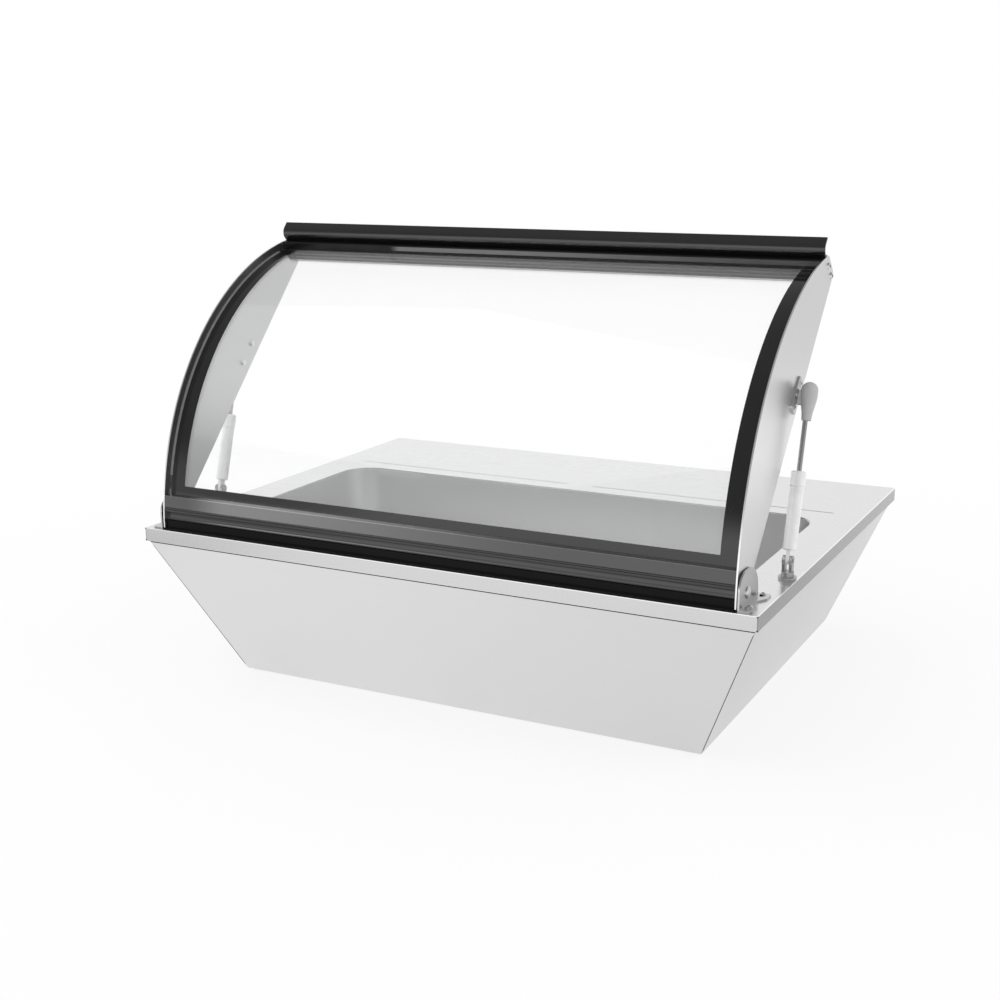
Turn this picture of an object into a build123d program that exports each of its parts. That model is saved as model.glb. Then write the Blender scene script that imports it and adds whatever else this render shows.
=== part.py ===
from build123d import *
from math import atan2, cos, degrees, hypot, radians, sin, sqrt
import os

# Countertop refrigerated display case: a bevelled steel base with a cold well in its
# worktop, under a curved glass hood that tips up on two hinges and two gas springs.
# Millimetres. X runs across the front, Y to the back, Z up from the floor. The origin
# is on the floor, under the middle of the worktop. The hood stands open.

# Worktop and base
WIDTH = 840.0
DEPTH = 656.0
TOP = 216.0
RIM = 18.0
TOP_SHEET = 1.5
PANEL_SHEET = 1.2
PANEL_INSET = 3.0
SIDE_BEVEL = 86.5
FRONT_BEVEL = 86.0
REAR_INSET = 11.0
BASE_DROP = 212.0
SEAM = 0.8

# Cold well
WELL_WIDTH = 730.0
WELL_FRONT = 108.0
WELL_BACK = 441.0
WELL_RADIUS = 45.0
WELL_DEPTH = 110.0
WELL_DRAFT = 10.0
SLOT_Y = 473.0
SLOT_LENGTH = 358.0
SLOT_BRIDGE = 40.0
SLOT_WIDTH = 2.0

# Hood: side view measured back from the worktop's front edge and up from its top
PIN = (33.0, 15.0)
PIN_RADIUS = 4.0
CLOSING_ANGLE = 46.9
CHORD_GAP = 11.0
ARC_CENTRE = (374.0, -5.0)
CHEEK_RADIUS = 368.5
GLASS_RADIUS = 357.0
GLASS_THICK = 5.0
CHEEK_OUT = 393.5
CHEEK_THICK = 2.0
HOOD_LENGTH = 461.0

# Hinge brackets: places of the front screw and of the adjusting slot
BRACKET_SCREW = (403.5, 19.0)
BRACKET_SLOT = (402.8, 69.5)
BRACKET_SLOT_SIZE = (12.0, 4.6)

# Gas springs
STRUT_X = 408.0
STRUT_FOOT = (150.0, 22.0)
STRUT_PLATE_AT = (270.0, 17.5)
TUBE_RADIUS = 8.2
ROD_RADIUS = 3.0

FRONT = -DEPTH / 2
BOTTOM = -BASE_DROP
CHEEK_IN = CHEEK_OUT - CHEEK_THICK
SIDES = (("left", -1), ("right", 1))


def side(x):
    """Upright plane across the case: local x runs back from the front edge, local y up from the top."""
    return Plane(origin=(x, FRONT, TOP), x_dir=(0, 1, 0), z_dir=(1, 0, 0))


def level(z):
    """Level plane at a height over the worktop: local y runs back from the front edge."""
    return Plane(origin=(0, FRONT, TOP + z), x_dir=(1, 0, 0), z_dir=(0, 0, 1))


def upright(y):
    """Upright plane along the case at a distance back from the front edge, facing the back."""
    return Plane(origin=(0, FRONT + y, TOP), x_dir=(-1, 0, 0), z_dir=(0, 1, 0))


def at(x, y, z):
    """Point of the case from x, the distance back from the front edge and the height over the top."""
    return (x, FRONT + y, TOP + z)


# The chord is the hood's straight rear edge. Hood points are given along it and off it.
ALONG = (cos(radians(CLOSING_ANGLE)), sin(radians(CLOSING_ANGLE)))
OFF = (-ALONG[1], ALONG[0])
CHORD_START = tuple(PIN[i] - CHORD_GAP * (ALONG[i] + OFF[i]) for i in (0, 1))


def hood(u, v):
    """Side-view point at u along the chord and v off it."""
    return tuple(CHORD_START[i] + u * ALONG[i] + v * OFF[i] for i in (0, 1))


def on_arc(radius, angle):
    """Side-view point on a circle round the hood's arc centre, angle up from straight ahead."""
    return (ARC_CENTRE[0] - radius * cos(radians(angle)), ARC_CENTRE[1] + radius * sin(radians(angle)))


def arc_at_height(radius, z):
    """Side-view point where such a circle is at height z."""
    return (ARC_CENTRE[0] - sqrt(radius**2 - (z - ARC_CENTRE[1]) ** 2), z)


def arc_at_length(radius, u):
    """Side-view point where such a circle is at u along the chord."""
    offset = [ARC_CENTRE[i] - CHORD_START[i] for i in (0, 1)]
    centre_u = offset[0] * ALONG[0] + offset[1] * ALONG[1]
    centre_v = offset[0] * OFF[0] + offset[1] * OFF[1]
    return hood(u, centre_v + sqrt(radius**2 - (u - centre_u) ** 2))


def arc_angle(point):
    """Angle of a side-view point, up from straight ahead of the arc centre."""
    return degrees(atan2(point[1] - ARC_CENTRE[1], ARC_CENTRE[0] - point[0]))


def hood_arc(radius, start, end):
    """Arc of the hood's circle between two of its points."""
    return ThreePointArc(start, on_arc(radius, (arc_angle(start) + arc_angle(end)) / 2), end)


def panel_x(z):
    """Half width of the base's bevelled sides at a height."""
    return WIDTH / 2 - PANEL_INSET - SIDE_BEVEL * max(0.0, -RIM - z) / (BASE_DROP - RIM)


def panel_y(z):
    """Distance of the bevelled front from the worktop's front edge at a height."""
    return PANEL_INSET + FRONT_BEVEL * max(0.0, -RIM - z) / (BASE_DROP - RIM)


os.makedirs("parts", exist_ok=True)

# Worktop: a folded tray with the well opening and two thin slits behind it
with BuildPart() as worktop:
    with BuildSketch(level(-RIM)):
        with Locations((0, DEPTH / 2)):
            Rectangle(WIDTH, DEPTH)
    extrude(amount=RIM)
    with BuildSketch(level(-RIM)):
        with Locations((0, DEPTH / 2)):
            Rectangle(WIDTH - 2 * TOP_SHEET, DEPTH - 2 * TOP_SHEET)
    extrude(amount=RIM - TOP_SHEET, mode=Mode.SUBTRACT)
    with BuildSketch(level(-TOP_SHEET)):
        with Locations((0, (WELL_FRONT + WELL_BACK) / 2)):
            RectangleRounded(WELL_WIDTH, WELL_BACK - WELL_FRONT, WELL_RADIUS)
        with Locations((0, SLOT_Y)):
            with GridLocations(SLOT_LENGTH + SLOT_BRIDGE, 0, 2, 1):
                SlotOverall(SLOT_LENGTH, SLOT_WIDTH)
        with Locations(*[(sign * BRACKET_SLOT[0], BRACKET_SLOT[1]) for name, sign in SIDES]):
            SlotOverall(*BRACKET_SLOT_SIZE, rotation=90)
    extrude(amount=TOP_SHEET, mode=Mode.SUBTRACT)
worktop.part.label = "worktop"
export_step(worktop.part, "parts/worktop.step")


def well_form(shrink):
    """Tapered basin with rounded corners and floor edge, smaller all round by shrink."""
    length = WELL_BACK - WELL_FRONT
    floor = -WELL_DEPTH + shrink
    with BuildPart() as form:
        for z, draft in ((-TOP_SHEET, 0), (floor, WELL_DRAFT)):
            with BuildSketch(level(z)):
                with Locations((0, (WELL_FRONT + WELL_BACK) / 2)):
                    inset = 2 * (draft + shrink)
                    RectangleRounded(WELL_WIDTH - inset, length - inset, WELL_RADIUS - shrink - draft / 2)
        loft()
        fillet(form.faces().sort_by(Axis.Z)[0].edges(), 14 - shrink)
    return form.part


DRAIN_AT = (300.0, 395.0)
LINER_SHEET = 1.2
WELL_LIP = 9.0

# Well liner: the pressed basin with its lip under the worktop and a drain hole
with BuildPart() as liner:
    add(well_form(0))
    lip_size = (WELL_WIDTH + 2 * WELL_LIP, WELL_BACK - WELL_FRONT + 2 * WELL_LIP)
    with BuildSketch(level(-TOP_SHEET - LINER_SHEET)):
        with Locations((0, (WELL_FRONT + WELL_BACK) / 2)):
            RectangleRounded(*lip_size, WELL_RADIUS + WELL_LIP)
    extrude(amount=LINER_SHEET)
    add(well_form(LINER_SHEET), mode=Mode.SUBTRACT)
    with BuildSketch(level(-WELL_DEPTH)):
        with Locations(DRAIN_AT):
            Circle(12)
    extrude(amount=2 * LINER_SHEET, mode=Mode.SUBTRACT)
liner.part.label = "well_liner"
export_step(liner.part, "parts/well_liner.step")

# Drain: a flanged spigot hung in the liner's hole, with its cap below the base
with BuildPart() as drain:
    with BuildSketch(level(-WELL_DEPTH + LINER_SHEET)):
        with Locations(DRAIN_AT):
            Circle(18)
    extrude(amount=1.0)
    with BuildSketch(level(BOTTOM + 9)):
        with Locations(DRAIN_AT):
            Circle(12)
    extrude(amount=BASE_DROP - WELL_DEPTH + LINER_SHEET - 9)
    with BuildSketch(level(BOTTOM + 8)):
        with Locations(DRAIN_AT):
            Circle(9.5)
    extrude(amount=BASE_DROP - WELL_DEPTH + 10, mode=Mode.SUBTRACT)
drain.part.label = "drain_spigot"
export_step(drain.part, "parts/drain_spigot.step")

INSULATION_BACK = 468.0
INSULATION_FLOOR = -152.0
COIL_TUBE = 4.0

# Insulation: a foam block moulded round the liner, with a pocket for the cooling coil
with BuildPart() as insulation:
    for z in (-TOP_SHEET - LINER_SHEET - 2.0, INSULATION_FLOOR):
        front = panel_y(z) + 14
        with BuildSketch(level(z)):
            with Locations((0, (front + INSULATION_BACK) / 2)):
                Rectangle(2 * (panel_x(z) - 14), INSULATION_BACK - front)
    loft()
    add(well_form(0), mode=Mode.SUBTRACT)
    with BuildSketch(level(-WELL_DEPTH)):
        with Locations((0, 272)):
            RectangleRounded(672, 316, 30)
    extrude(amount=-2 * COIL_TUBE - 0.6, mode=Mode.SUBTRACT)
    with BuildSketch(level(-WELL_DEPTH - 2 * COIL_TUBE - 0.6)):
        with Locations((294, 440)):
            Rectangle(90, 80)
    extrude(amount=2 * COIL_TUBE + 0.6, mode=Mode.SUBTRACT)
    with BuildSketch(level(INSULATION_FLOOR)):
        with Locations(DRAIN_AT):
            Circle(12.6)
    extrude(amount=80, mode=Mode.SUBTRACT)
insulation.part.label = "well_insulation"
export_step(insulation.part, "parts/well_insulation.step")

COIL_RUNS = 6
COIL_PITCH = 44.0
COIL_FRONT = 136.0
COIL_REACH = 262.0
COIL_Z = -WELL_DEPTH - COIL_TUBE - 0.1
COIL_END = 486.0
COIL_INLET = 326.0


def coil_route():
    """Corners of the flat coil: in on the right, to and fro across the floor, out on the right."""
    points = [(COIL_INLET, COIL_END)]
    for run in range(COIL_RUNS):
        y = COIL_FRONT + run * COIL_PITCH
        ends = (-COIL_REACH, COIL_REACH) if run % 2 else (COIL_REACH, -COIL_REACH)
        start = COIL_INLET if run == 0 else ends[0]
        points.append((start, y))
        points.append((ends[1], y))
    points.append((COIL_REACH, COIL_END))
    return points


# Cooling coil: one flat copper serpentine against the liner's floor
with BuildPart() as coil:
    with BuildLine(level(COIL_Z)) as coil_line:
        FilletPolyline(*coil_route(), radius=COIL_PITCH / 2 - 0.5)
    with BuildSketch(Plane(origin=coil_line.line @ 0, z_dir=coil_line.line % 0)):
        Circle(COIL_TUBE)
    sweep(path=coil_line.line)
coil.part.label = "evaporator_coil"
export_step(coil.part, "parts/evaporator_coil.step")


# Base panels: folded sheets with a lip under the worktop and a lip under the floor plate
FOLD = 12.0


def bevel_section(inset, out):
    """Sheet section: top lip, upright under the rim, bevel and bottom lip. out is +1 or -1 on local x."""
    top = -TOP_SHEET - 0.3
    points = [
        (out * (inset(0) - FOLD), top),
        (out * inset(0), top),
        (out * inset(-RIM), -RIM),
        (out * inset(BOTTOM), BOTTOM),
        (out * (inset(BOTTOM) - FOLD), BOTTOM),
    ]
    with BuildLine() as section:
        Polyline(*points)
        offset(amount=PANEL_SHEET, side=Side.LEFT if out < 0 else Side.RIGHT)
    make_face(section.edges())


def front_reach(z):
    """How far the bevelled front stands ahead of the case's middle."""
    return DEPTH / 2 - panel_y(z)


def bevel_plane(normal_side, gap):
    """Plane of a bevelled side (x sign) or of the front (0), moved in by a gap, facing out."""
    rise = BASE_DROP - RIM
    if normal_side:
        point = at(normal_side * (panel_x(-RIM) - gap), 0, -RIM)
        return Plane(origin=point, z_dir=(normal_side * rise, 0, -SIDE_BEVEL))
    return Plane(origin=at(0, panel_y(-RIM) + gap, -RIM), z_dir=(0, -rise, -FRONT_BEVEL))


REAR_Y = DEPTH - REAR_INSET

SIDE_START = PANEL_INSET + PANEL_SHEET + SEAM

with BuildPart() as front_panel:
    half = panel_x(0) - 0.2
    with BuildSketch(Plane(origin=(-half, 0, TOP), x_dir=(0, 1, 0), z_dir=(1, 0, 0))):
        bevel_section(front_reach, -1)
    extrude(amount=2 * half)
    for sign in (-1, 1):
        split(bisect_by=bevel_plane(sign, 0.2), keep=Keep.BOTTOM)
        with Locations(at(sign * (panel_x(0) - FOLD / 2), SIDE_START + FOLD, -TOP_SHEET - 2)):
            Box(FOLD + 2, 2 * FOLD, 4, mode=Mode.SUBTRACT)
        with Locations(at(sign * (panel_x(BOTTOM) - FOLD / 2), panel_y(BOTTOM) + 1.4 + FOLD, BOTTOM)):
            Box(FOLD + 6, 2 * FOLD, 4, mode=Mode.SUBTRACT)
front_panel.part.label = "front_panel"
export_step(front_panel.part, "parts/front_panel.step")

for name, sign in SIDES:
    with BuildPart() as side_panel:
        with BuildSketch(Plane(origin=at(0, SIDE_START, 0), x_dir=(1, 0, 0), z_dir=(0, -1, 0))):
            bevel_section(panel_x, sign)
        extrude(amount=SIDE_START - REAR_Y + PANEL_SHEET + 0.3)
        split(bisect_by=bevel_plane(0, PANEL_SHEET + SEAM), keep=Keep.BOTTOM)
    side_panel.part.label = f"{name}_side_panel"
    export_step(side_panel.part, f"parts/{name}_side_panel.step")

LOUVRES = 7
LOUVRE_LENGTH = 56.0
LOUVRE_PITCH = 17.0
LOUVRE_RISE = 7.0
LOUVRE_X = (-262.0, -196.0, 196.0, 262.0)
LOUVRE_Z = -112.0
CONTROL_AT = (0.0, -74.0)
CONTROL_HOLE = (71.0, 29.0)
SWITCH_AT = (-84.0, -74.0)
SWITCH_HOLE = (27.0, 21.0)
GLAND_AT = (-84.0, -150.0)
GLAND_HOLE_RADIUS = 8.2


def rear_spots():
    """Centres of all louvres on the rear panel, seen from behind."""
    rows = [LOUVRE_Z + (i - (LOUVRES - 1) / 2) * LOUVRE_PITCH for i in range(LOUVRES)]
    return [(x, z) for x in LOUVRE_X for z in rows]


# Rear panel: upright sheet with pressed louvres at both ends and the holes of the controls
with BuildPart() as rear_panel:
    with BuildSketch(upright(REAR_Y - PANEL_SHEET)):
        with BuildLine():
            z_top = -TOP_SHEET - 0.3
            x_top = panel_x(0) - 0.4
            x_low = panel_x(BOTTOM) - 0.4
            Polyline(
                (-x_top, z_top), (x_top, z_top), (x_top, -RIM), (x_low, BOTTOM),
                (-x_low, BOTTOM), (-x_top, -RIM), (-x_top, z_top),
            )
        make_face()
        with Locations(*rear_spots()):
            Rectangle(LOUVRE_LENGTH, 5.0, mode=Mode.SUBTRACT)
        with Locations(CONTROL_AT):
            Rectangle(*CONTROL_HOLE, mode=Mode.SUBTRACT)
        with Locations(SWITCH_AT):
            Rectangle(*SWITCH_HOLE, mode=Mode.SUBTRACT)
        with Locations(GLAND_AT):
            Circle(GLAND_HOLE_RADIUS, mode=Mode.SUBTRACT)
    extrude(amount=PANEL_SHEET)
    with BuildSketch(side(-LOUVRE_LENGTH / 2)) as flap:
        with BuildLine():
            y = REAR_Y - 0.1
            Polyline((y, 3.8), (y + LOUVRE_RISE, -2.0), (y + LOUVRE_RISE, -3.4), (y, 2.4), (y, 3.8))
        make_face()
    with Locations(*[(x, 0, z) for x, z in rear_spots()]):
        add(extrude(flap.sketch, amount=LOUVRE_LENGTH, mode=Mode.PRIVATE))
rear_panel.part.label = "rear_panel"
export_step(rear_panel.part, "parts/rear_panel.step")

FOOT_X = 276.0
FOOT_FRONT = 132.0
FOOT_BACK = 610.0
FOOT_HEIGHT = TOP - BASE_DROP + PANEL_SHEET

# Floor plate: a shallow tray on the panels' lower lips
with BuildPart() as floor_plate:
    with BuildSketch(level(BOTTOM + PANEL_SHEET)):
        front = panel_y(BOTTOM) + 3
        back = REAR_Y - PANEL_SHEET - 1
        with Locations((0, (front + back) / 2)):
            Rectangle(2 * (panel_x(BOTTOM) - 4), back - front)
        with Locations(DRAIN_AT):
            Circle(14, mode=Mode.SUBTRACT)
        with Locations((0, (FOOT_FRONT + FOOT_BACK) / 2)):
            with GridLocations(2 * FOOT_X, FOOT_BACK - FOOT_FRONT, 2, 2):
                Circle(4.2, mode=Mode.SUBTRACT)
    extrude(amount=TOP_SHEET)
floor_plate.part.label = "floor_plate"
export_step(floor_plate.part, "parts/floor_plate.step")

# Feet: four rubber discs pushed through the floor plate
with BuildPart() as feet:
    with BuildSketch(level(-TOP)):
        with Locations((0, (FOOT_FRONT + FOOT_BACK) / 2)):
            with GridLocations(2 * FOOT_X, FOOT_BACK - FOOT_FRONT, 2, 2):
                Circle(16)
    extrude(amount=FOOT_HEIGHT)
    chamfer(feet.faces().sort_by(Axis.Z)[0:4].edges(), 1.0)
    with BuildSketch(level(-TOP + FOOT_HEIGHT)):
        with Locations((0, (FOOT_FRONT + FOOT_BACK) / 2)):
            with GridLocations(2 * FOOT_X, FOOT_BACK - FOOT_FRONT, 2, 2):
                Circle(4.2)
    extrude(amount=TOP_SHEET + 3)
feet.part.label = "rubber_feet"
export_step(feet.part, "parts/rubber_feet.step")

# Machine compartment, behind the well: everything stands on the floor plate
DECK = BOTTOM + PANEL_SHEET + TOP_SHEET
MACHINE_Y = 556.0
COMPRESSOR_X = -130.0
COMPRESSOR_RADIUS = 58.0
PIPE_START = -76.0
GROMMETS = 9.0

with BuildPart() as compressor:
    with BuildSketch(level(DECK + GROMMETS)):
        with Locations((COMPRESSOR_X, MACHINE_Y)):
            RectangleRounded(176, 110, 14)
            with GridLocations(148, 84, 2, 2):
                Circle(4.2, mode=Mode.SUBTRACT)
    extrude(amount=3)
    with BuildSketch(level(DECK + GROMMETS + 3)):
        with Locations((COMPRESSOR_X, MACHINE_Y)):
            Circle(COMPRESSOR_RADIUS - 6)
    extrude(amount=125)
    fillet(compressor.faces().sort_by(Axis.Z)[-1].edges(), 34)
    with BuildSketch(level(DECK + GROMMETS + 56)):
        with Locations((COMPRESSOR_X, MACHINE_Y)):
            Circle(COMPRESSOR_RADIUS)
    extrude(amount=5)
    with BuildSketch(level(DECK + GROMMETS + 30)):
        with Locations((COMPRESSOR_X + COMPRESSOR_RADIUS + 2, MACHINE_Y)):
            Rectangle(26, 46)
    extrude(amount=44)
    with BuildSketch(side(COMPRESSOR_X)):
        for offset_y in (-30, 30):
            with Locations((MACHINE_Y + offset_y, DECK + 96)):
                Circle(5)
    extrude(amount=PIPE_START - COMPRESSOR_X)
compressor.part.label = "compressor"
export_step(compressor.part, "parts/compressor.step")

with BuildPart() as grommets:
    with BuildSketch(level(DECK)):
        with Locations((COMPRESSOR_X, MACHINE_Y)):
            with GridLocations(148, 84, 2, 2):
                Circle(9)
    extrude(amount=GROMMETS)
    with BuildSketch(level(DECK + GROMMETS)):
        with Locations((COMPRESSOR_X, MACHINE_Y)):
            with GridLocations(148, 84, 2, 2):
                Circle(4.0)
    extrude(amount=6)
grommets.part.label = "compressor_grommets"
export_step(grommets.part, "parts/compressor_grommets.step")

CONDENSER_X = 214.0
CONDENSER_SIZE = (34.0, 132.0, 140.0)
CONDENSER_Z = DECK + 6
CONDENSER_STUB = 8.0
CONDENSER_END = MACHINE_Y - CONDENSER_SIZE[1] / 2 - CONDENSER_STUB
CONDENSER_LOW = CONDENSER_Z + 22
TUBE_ROWS = 4
TUBE_PITCH = 32.0
TUBE_OFFSET = 9.0
FINS = 17

# Condenser: upright fins on a spine between two end plates, with the tube ends of its rows
with BuildPart() as condenser:
    depth, length, height = CONDENSER_SIZE
    with BuildSketch(level(CONDENSER_Z)):
        with Locations((CONDENSER_X, MACHINE_Y)):
            with GridLocations(0, length / (FINS - 1), 1, FINS):
                Rectangle(depth, 1.6)
            Rectangle(4, length)
    extrude(amount=height)
    for end in (-1, 1):
        with BuildSketch(level(CONDENSER_Z - 6)):
            with Locations((CONDENSER_X, MACHINE_Y + end * (length / 2 + 1.2))):
                Rectangle(depth + 8, 1.6)
        extrude(amount=height + 8)
    with BuildSketch(upright(CONDENSER_END)):
        for row in range(TUBE_ROWS):
            with Locations((-CONDENSER_X, CONDENSER_LOW + row * TUBE_PITCH)):
                with GridLocations(2 * TUBE_OFFSET, 0, 2, 1):
                    Circle(COIL_TUBE)
    extrude(amount=CONDENSER_STUB)
condenser.part.label = "condenser"
export_step(condenser.part, "parts/condenser.step")

FAN_X = 172.0
FAN_Z = DECK + 78.0
FAN_RADIUS = 56.0
BLADES = 5


def fan_plane(x):
    """Upright plane across the fan's axis, facing the compressor."""
    return Plane(origin=at(x, MACHINE_Y, FAN_Z), x_dir=(0, 1, 0), z_dir=(-1, 0, 0))


# Fan housing: a square shroud with a round duct, feet and a four-armed motor mount
with BuildPart() as shroud:
    with BuildSketch(fan_plane(FAN_X + 20)):
        RectangleRounded(2 * FAN_RADIUS + 16, 2 * FAN_RADIUS + 16, 10)
        Circle(FAN_RADIUS + 3, mode=Mode.SUBTRACT)
    extrude(amount=44)
    with BuildSketch(fan_plane(FAN_X - 20)):
        for turn in (45, 135):
            Rectangle(2 * FAN_RADIUS + 14, 5, rotation=turn)
        Circle(19)
        Circle(3.6, mode=Mode.SUBTRACT)
    extrude(amount=3)
    with BuildSketch(level(DECK)):
        with Locations((FAN_X - 2, MACHINE_Y)):
            with GridLocations(0, 84, 1, 2):
                Rectangle(44, 22)
    extrude(amount=FAN_Z - FAN_RADIUS - 7 - DECK)
shroud.part.label = "fan_housing"
export_step(shroud.part, "parts/fan_housing.step")

with BuildPart() as motor:
    with BuildSketch(fan_plane(FAN_X - 23)):
        Circle(24)
    extrude(amount=34)
    fillet(motor.faces().sort_by(Axis.X)[0].edges(), 6)
    with BuildSketch(fan_plane(FAN_X + 14)):
        Circle(3)
    extrude(amount=37)
motor.part.label = "fan_motor"
export_step(motor.part, "parts/fan_motor.step")

# Fan blades: a hub with five pitched blades, free to turn on the motor's shaft
with BuildPart() as fan:
    with BuildSketch(fan_plane(FAN_X + 12)):
        Circle(16)
        Circle(3.05, mode=Mode.SUBTRACT)
    extrude(amount=20)
    root_place = at(FAN_X, MACHINE_Y, FAN_Z + 14)
    tip_place = at(FAN_X, MACHINE_Y, FAN_Z + FAN_RADIUS - 1)
    with BuildSketch(Plane(origin=root_place, x_dir=(1, 0, 0), z_dir=(0, 0, 1))) as root:
        Rectangle(2.4, 20, rotation=-32)
    with BuildSketch(Plane(origin=tip_place, x_dir=(1, 0, 0), z_dir=(0, 0, 1))) as tip:
        Rectangle(1.6, 40, rotation=-58)
    blade = loft([root.sketch.face(), tip.sketch.face()], mode=Mode.PRIVATE)
    axis = Axis(at(FAN_X, MACHINE_Y, FAN_Z), (1, 0, 0))
    for turn in range(BLADES):
        add(blade.rotate(axis, turn * 360 / BLADES))
fan.part.label = "fan_blades"
export_step(fan.part, "parts/fan_blades.step")

PIPE = 3.0


def pipe(points, radius, tube=PIPE):
    """Round pipe along straight runs joined by bends of one radius."""
    with BuildPart() as run:
        with BuildLine() as route:
            FilletPolyline(*[at(*point) for point in points], radius=radius)
        with BuildSketch(Plane(origin=route.line @ 0, z_dir=route.line % 0)):
            Circle(tube)
        sweep(path=route.line)
    return run.part


DRYER_X = 85.0
DRYER_Y = 478.0
DRYER_Z = DECK + 60.0
DRYER_HALF = 45.0

# Dryer: a short copper can with coned ends, lying along the insulation's back
with BuildPart() as dryer:
    with BuildSketch(Plane(origin=at(DRYER_X, DRYER_Y, DRYER_Z), x_dir=(1, 0, 0), z_dir=(0, -1, 0))):
        with BuildLine():
            Polyline(
                (-DRYER_HALF, 0), (-DRYER_HALF, PIPE), (-DRYER_HALF + 12, 9), (DRYER_HALF - 12, 9),
                (DRYER_HALF, PIPE), (DRYER_HALF, 0), (-DRYER_HALF, 0),
            )
        make_face()
    revolve(axis=Axis(at(DRYER_X, DRYER_Y, DRYER_Z), (1, 0, 0)))
dryer.part.label = "filter_dryer"
export_step(dryer.part, "parts/filter_dryer.step")

CONDENSER_TUBE_X = CONDENSER_X - TUBE_OFFSET
CONDENSER_TOP = CONDENSER_LOW + (TUBE_ROWS - 1) * TUBE_PITCH
PIPE_Z = DECK + 96

# Refrigerant pipes: compressor to condenser, condenser to dryer, dryer to coil, coil to compressor
PIPES = {
    "discharge_pipe": (PIPE, 5.5, [
        (PIPE_START, MACHINE_Y - 30, PIPE_Z), (20, MACHINE_Y - 30, PIPE_Z), (20, 472, PIPE_Z),
        (20, 472, -51), (CONDENSER_TUBE_X, 472, -51), (CONDENSER_TUBE_X, 472, CONDENSER_TOP),
        (CONDENSER_TUBE_X, CONDENSER_END, CONDENSER_TOP),
    ]),
    "liquid_pipe": (1.6, 2.5, [
        (CONDENSER_TUBE_X, CONDENSER_END, CONDENSER_LOW), (CONDENSER_TUBE_X, DRYER_Y, CONDENSER_LOW),
        (174, DRYER_Y, CONDENSER_LOW), (174, DRYER_Y, DRYER_Z), (DRYER_X + DRYER_HALF, DRYER_Y, DRYER_Z),
    ]),
    "capillary_tube": (1.2, 3.5, [
        (DRYER_X - DRYER_HALF, DRYER_Y, DRYER_Z), (32, DRYER_Y, DRYER_Z), (32, DRYER_Y, -32),
        (32, 494, -32),
        (COIL_INLET, 494, -32), (COIL_INLET, 494, COIL_Z), (COIL_INLET, COIL_END, COIL_Z),
    ]),
    "suction_pipe": (COIL_TUBE, 8.0, [
        (COIL_REACH, COIL_END, COIL_Z), (COIL_REACH, 506, COIL_Z), (COIL_REACH, 506, -44),
        (-50, 506, -44), (-50, MACHINE_Y + 30, -44), (-50, MACHINE_Y + 30, PIPE_Z),
        (PIPE_START, MACHINE_Y + 30, PIPE_Z),
    ]),
}

for name, (tube, bend, points) in PIPES.items():
    with BuildPart() as line:
        add(pipe(points, bend, tube))
    line.part.label = name
    export_step(line.part, f"parts/{name}.step")

# Controller: a snap-in housing with a display window and four keys
KEY_SIZE = (7.8, 5.8)
KEY_GAP = 0.3
KEY_TRAVEL = 0.8
BEZEL = 3.2
KEYS = {"key_set": (20, -67.5), "key_up": (30, -67.5), "key_power": (20, -80.5), "key_down": (30, -80.5)}

with BuildPart() as controller:
    with BuildSketch(upright(REAR_Y - 60)):
        with Locations(CONTROL_AT):
            RectangleRounded(CONTROL_HOLE[0] - 0.6, CONTROL_HOLE[1] - 0.6, 2)
    extrude(amount=60)
    with BuildSketch(upright(REAR_Y)):
        with Locations(CONTROL_AT):
            RectangleRounded(CONTROL_HOLE[0] + 7, CONTROL_HOLE[1] + 6, 3)
    extrude(amount=BEZEL)
    chamfer(controller.faces().sort_by(Axis.Y)[-1].edges(), 0.8)
    with BuildSketch(upright(REAR_Y + BEZEL - 0.8)):
        with Locations((CONTROL_AT[0] - 12, CONTROL_AT[1])):
            RectangleRounded(40, 18, 1.5)
    extrude(amount=0.8, mode=Mode.SUBTRACT)
    with BuildSketch(upright(REAR_Y - 6.5)):
        with Locations(*KEYS.values()):
            RectangleRounded(KEY_SIZE[0] + 2 * KEY_GAP, KEY_SIZE[1] + 2 * KEY_GAP, 1)
    extrude(amount=6.5 + BEZEL, mode=Mode.SUBTRACT)
controller.part.label = "controller"
export_step(controller.part, "parts/controller.step")

for name, spot in KEYS.items():
    with BuildPart() as key:
        with BuildSketch(upright(REAR_Y - 5)):
            with Locations(spot):
                RectangleRounded(*KEY_SIZE, 0.7)
        extrude(amount=5 + BEZEL + 0.9)
        fillet(key.faces().sort_by(Axis.Y)[-1].edges(), 0.5)
    key.part.label = name
    export_step(key.part, f"parts/{name}.step")

# Main switch: a framed housing and its rocker, tipped to one side
ROCKER_Y = REAR_Y - 4.0
ROCKER_TILT = 9.0
ROCKER_SIZE = (20.8, 14.6)

with BuildPart() as switch:
    with BuildSketch(upright(REAR_Y - 24)):
        with Locations(SWITCH_AT):
            RectangleRounded(SWITCH_HOLE[0] - 0.6, SWITCH_HOLE[1] - 0.6, 1)
    extrude(amount=24)
    with BuildSketch(upright(REAR_Y)):
        with Locations(SWITCH_AT):
            RectangleRounded(SWITCH_HOLE[0] + 4, SWITCH_HOLE[1] + 4, 2)
    extrude(amount=2)
    with BuildSketch(upright(REAR_Y - 14)):
        with Locations(SWITCH_AT):
            RectangleRounded(ROCKER_SIZE[0] + 1.2, 18.4, 0.6)
    extrude(amount=16, mode=Mode.SUBTRACT)
switch.part.label = "switch_housing"
export_step(switch.part, "parts/switch_housing.step")

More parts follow.
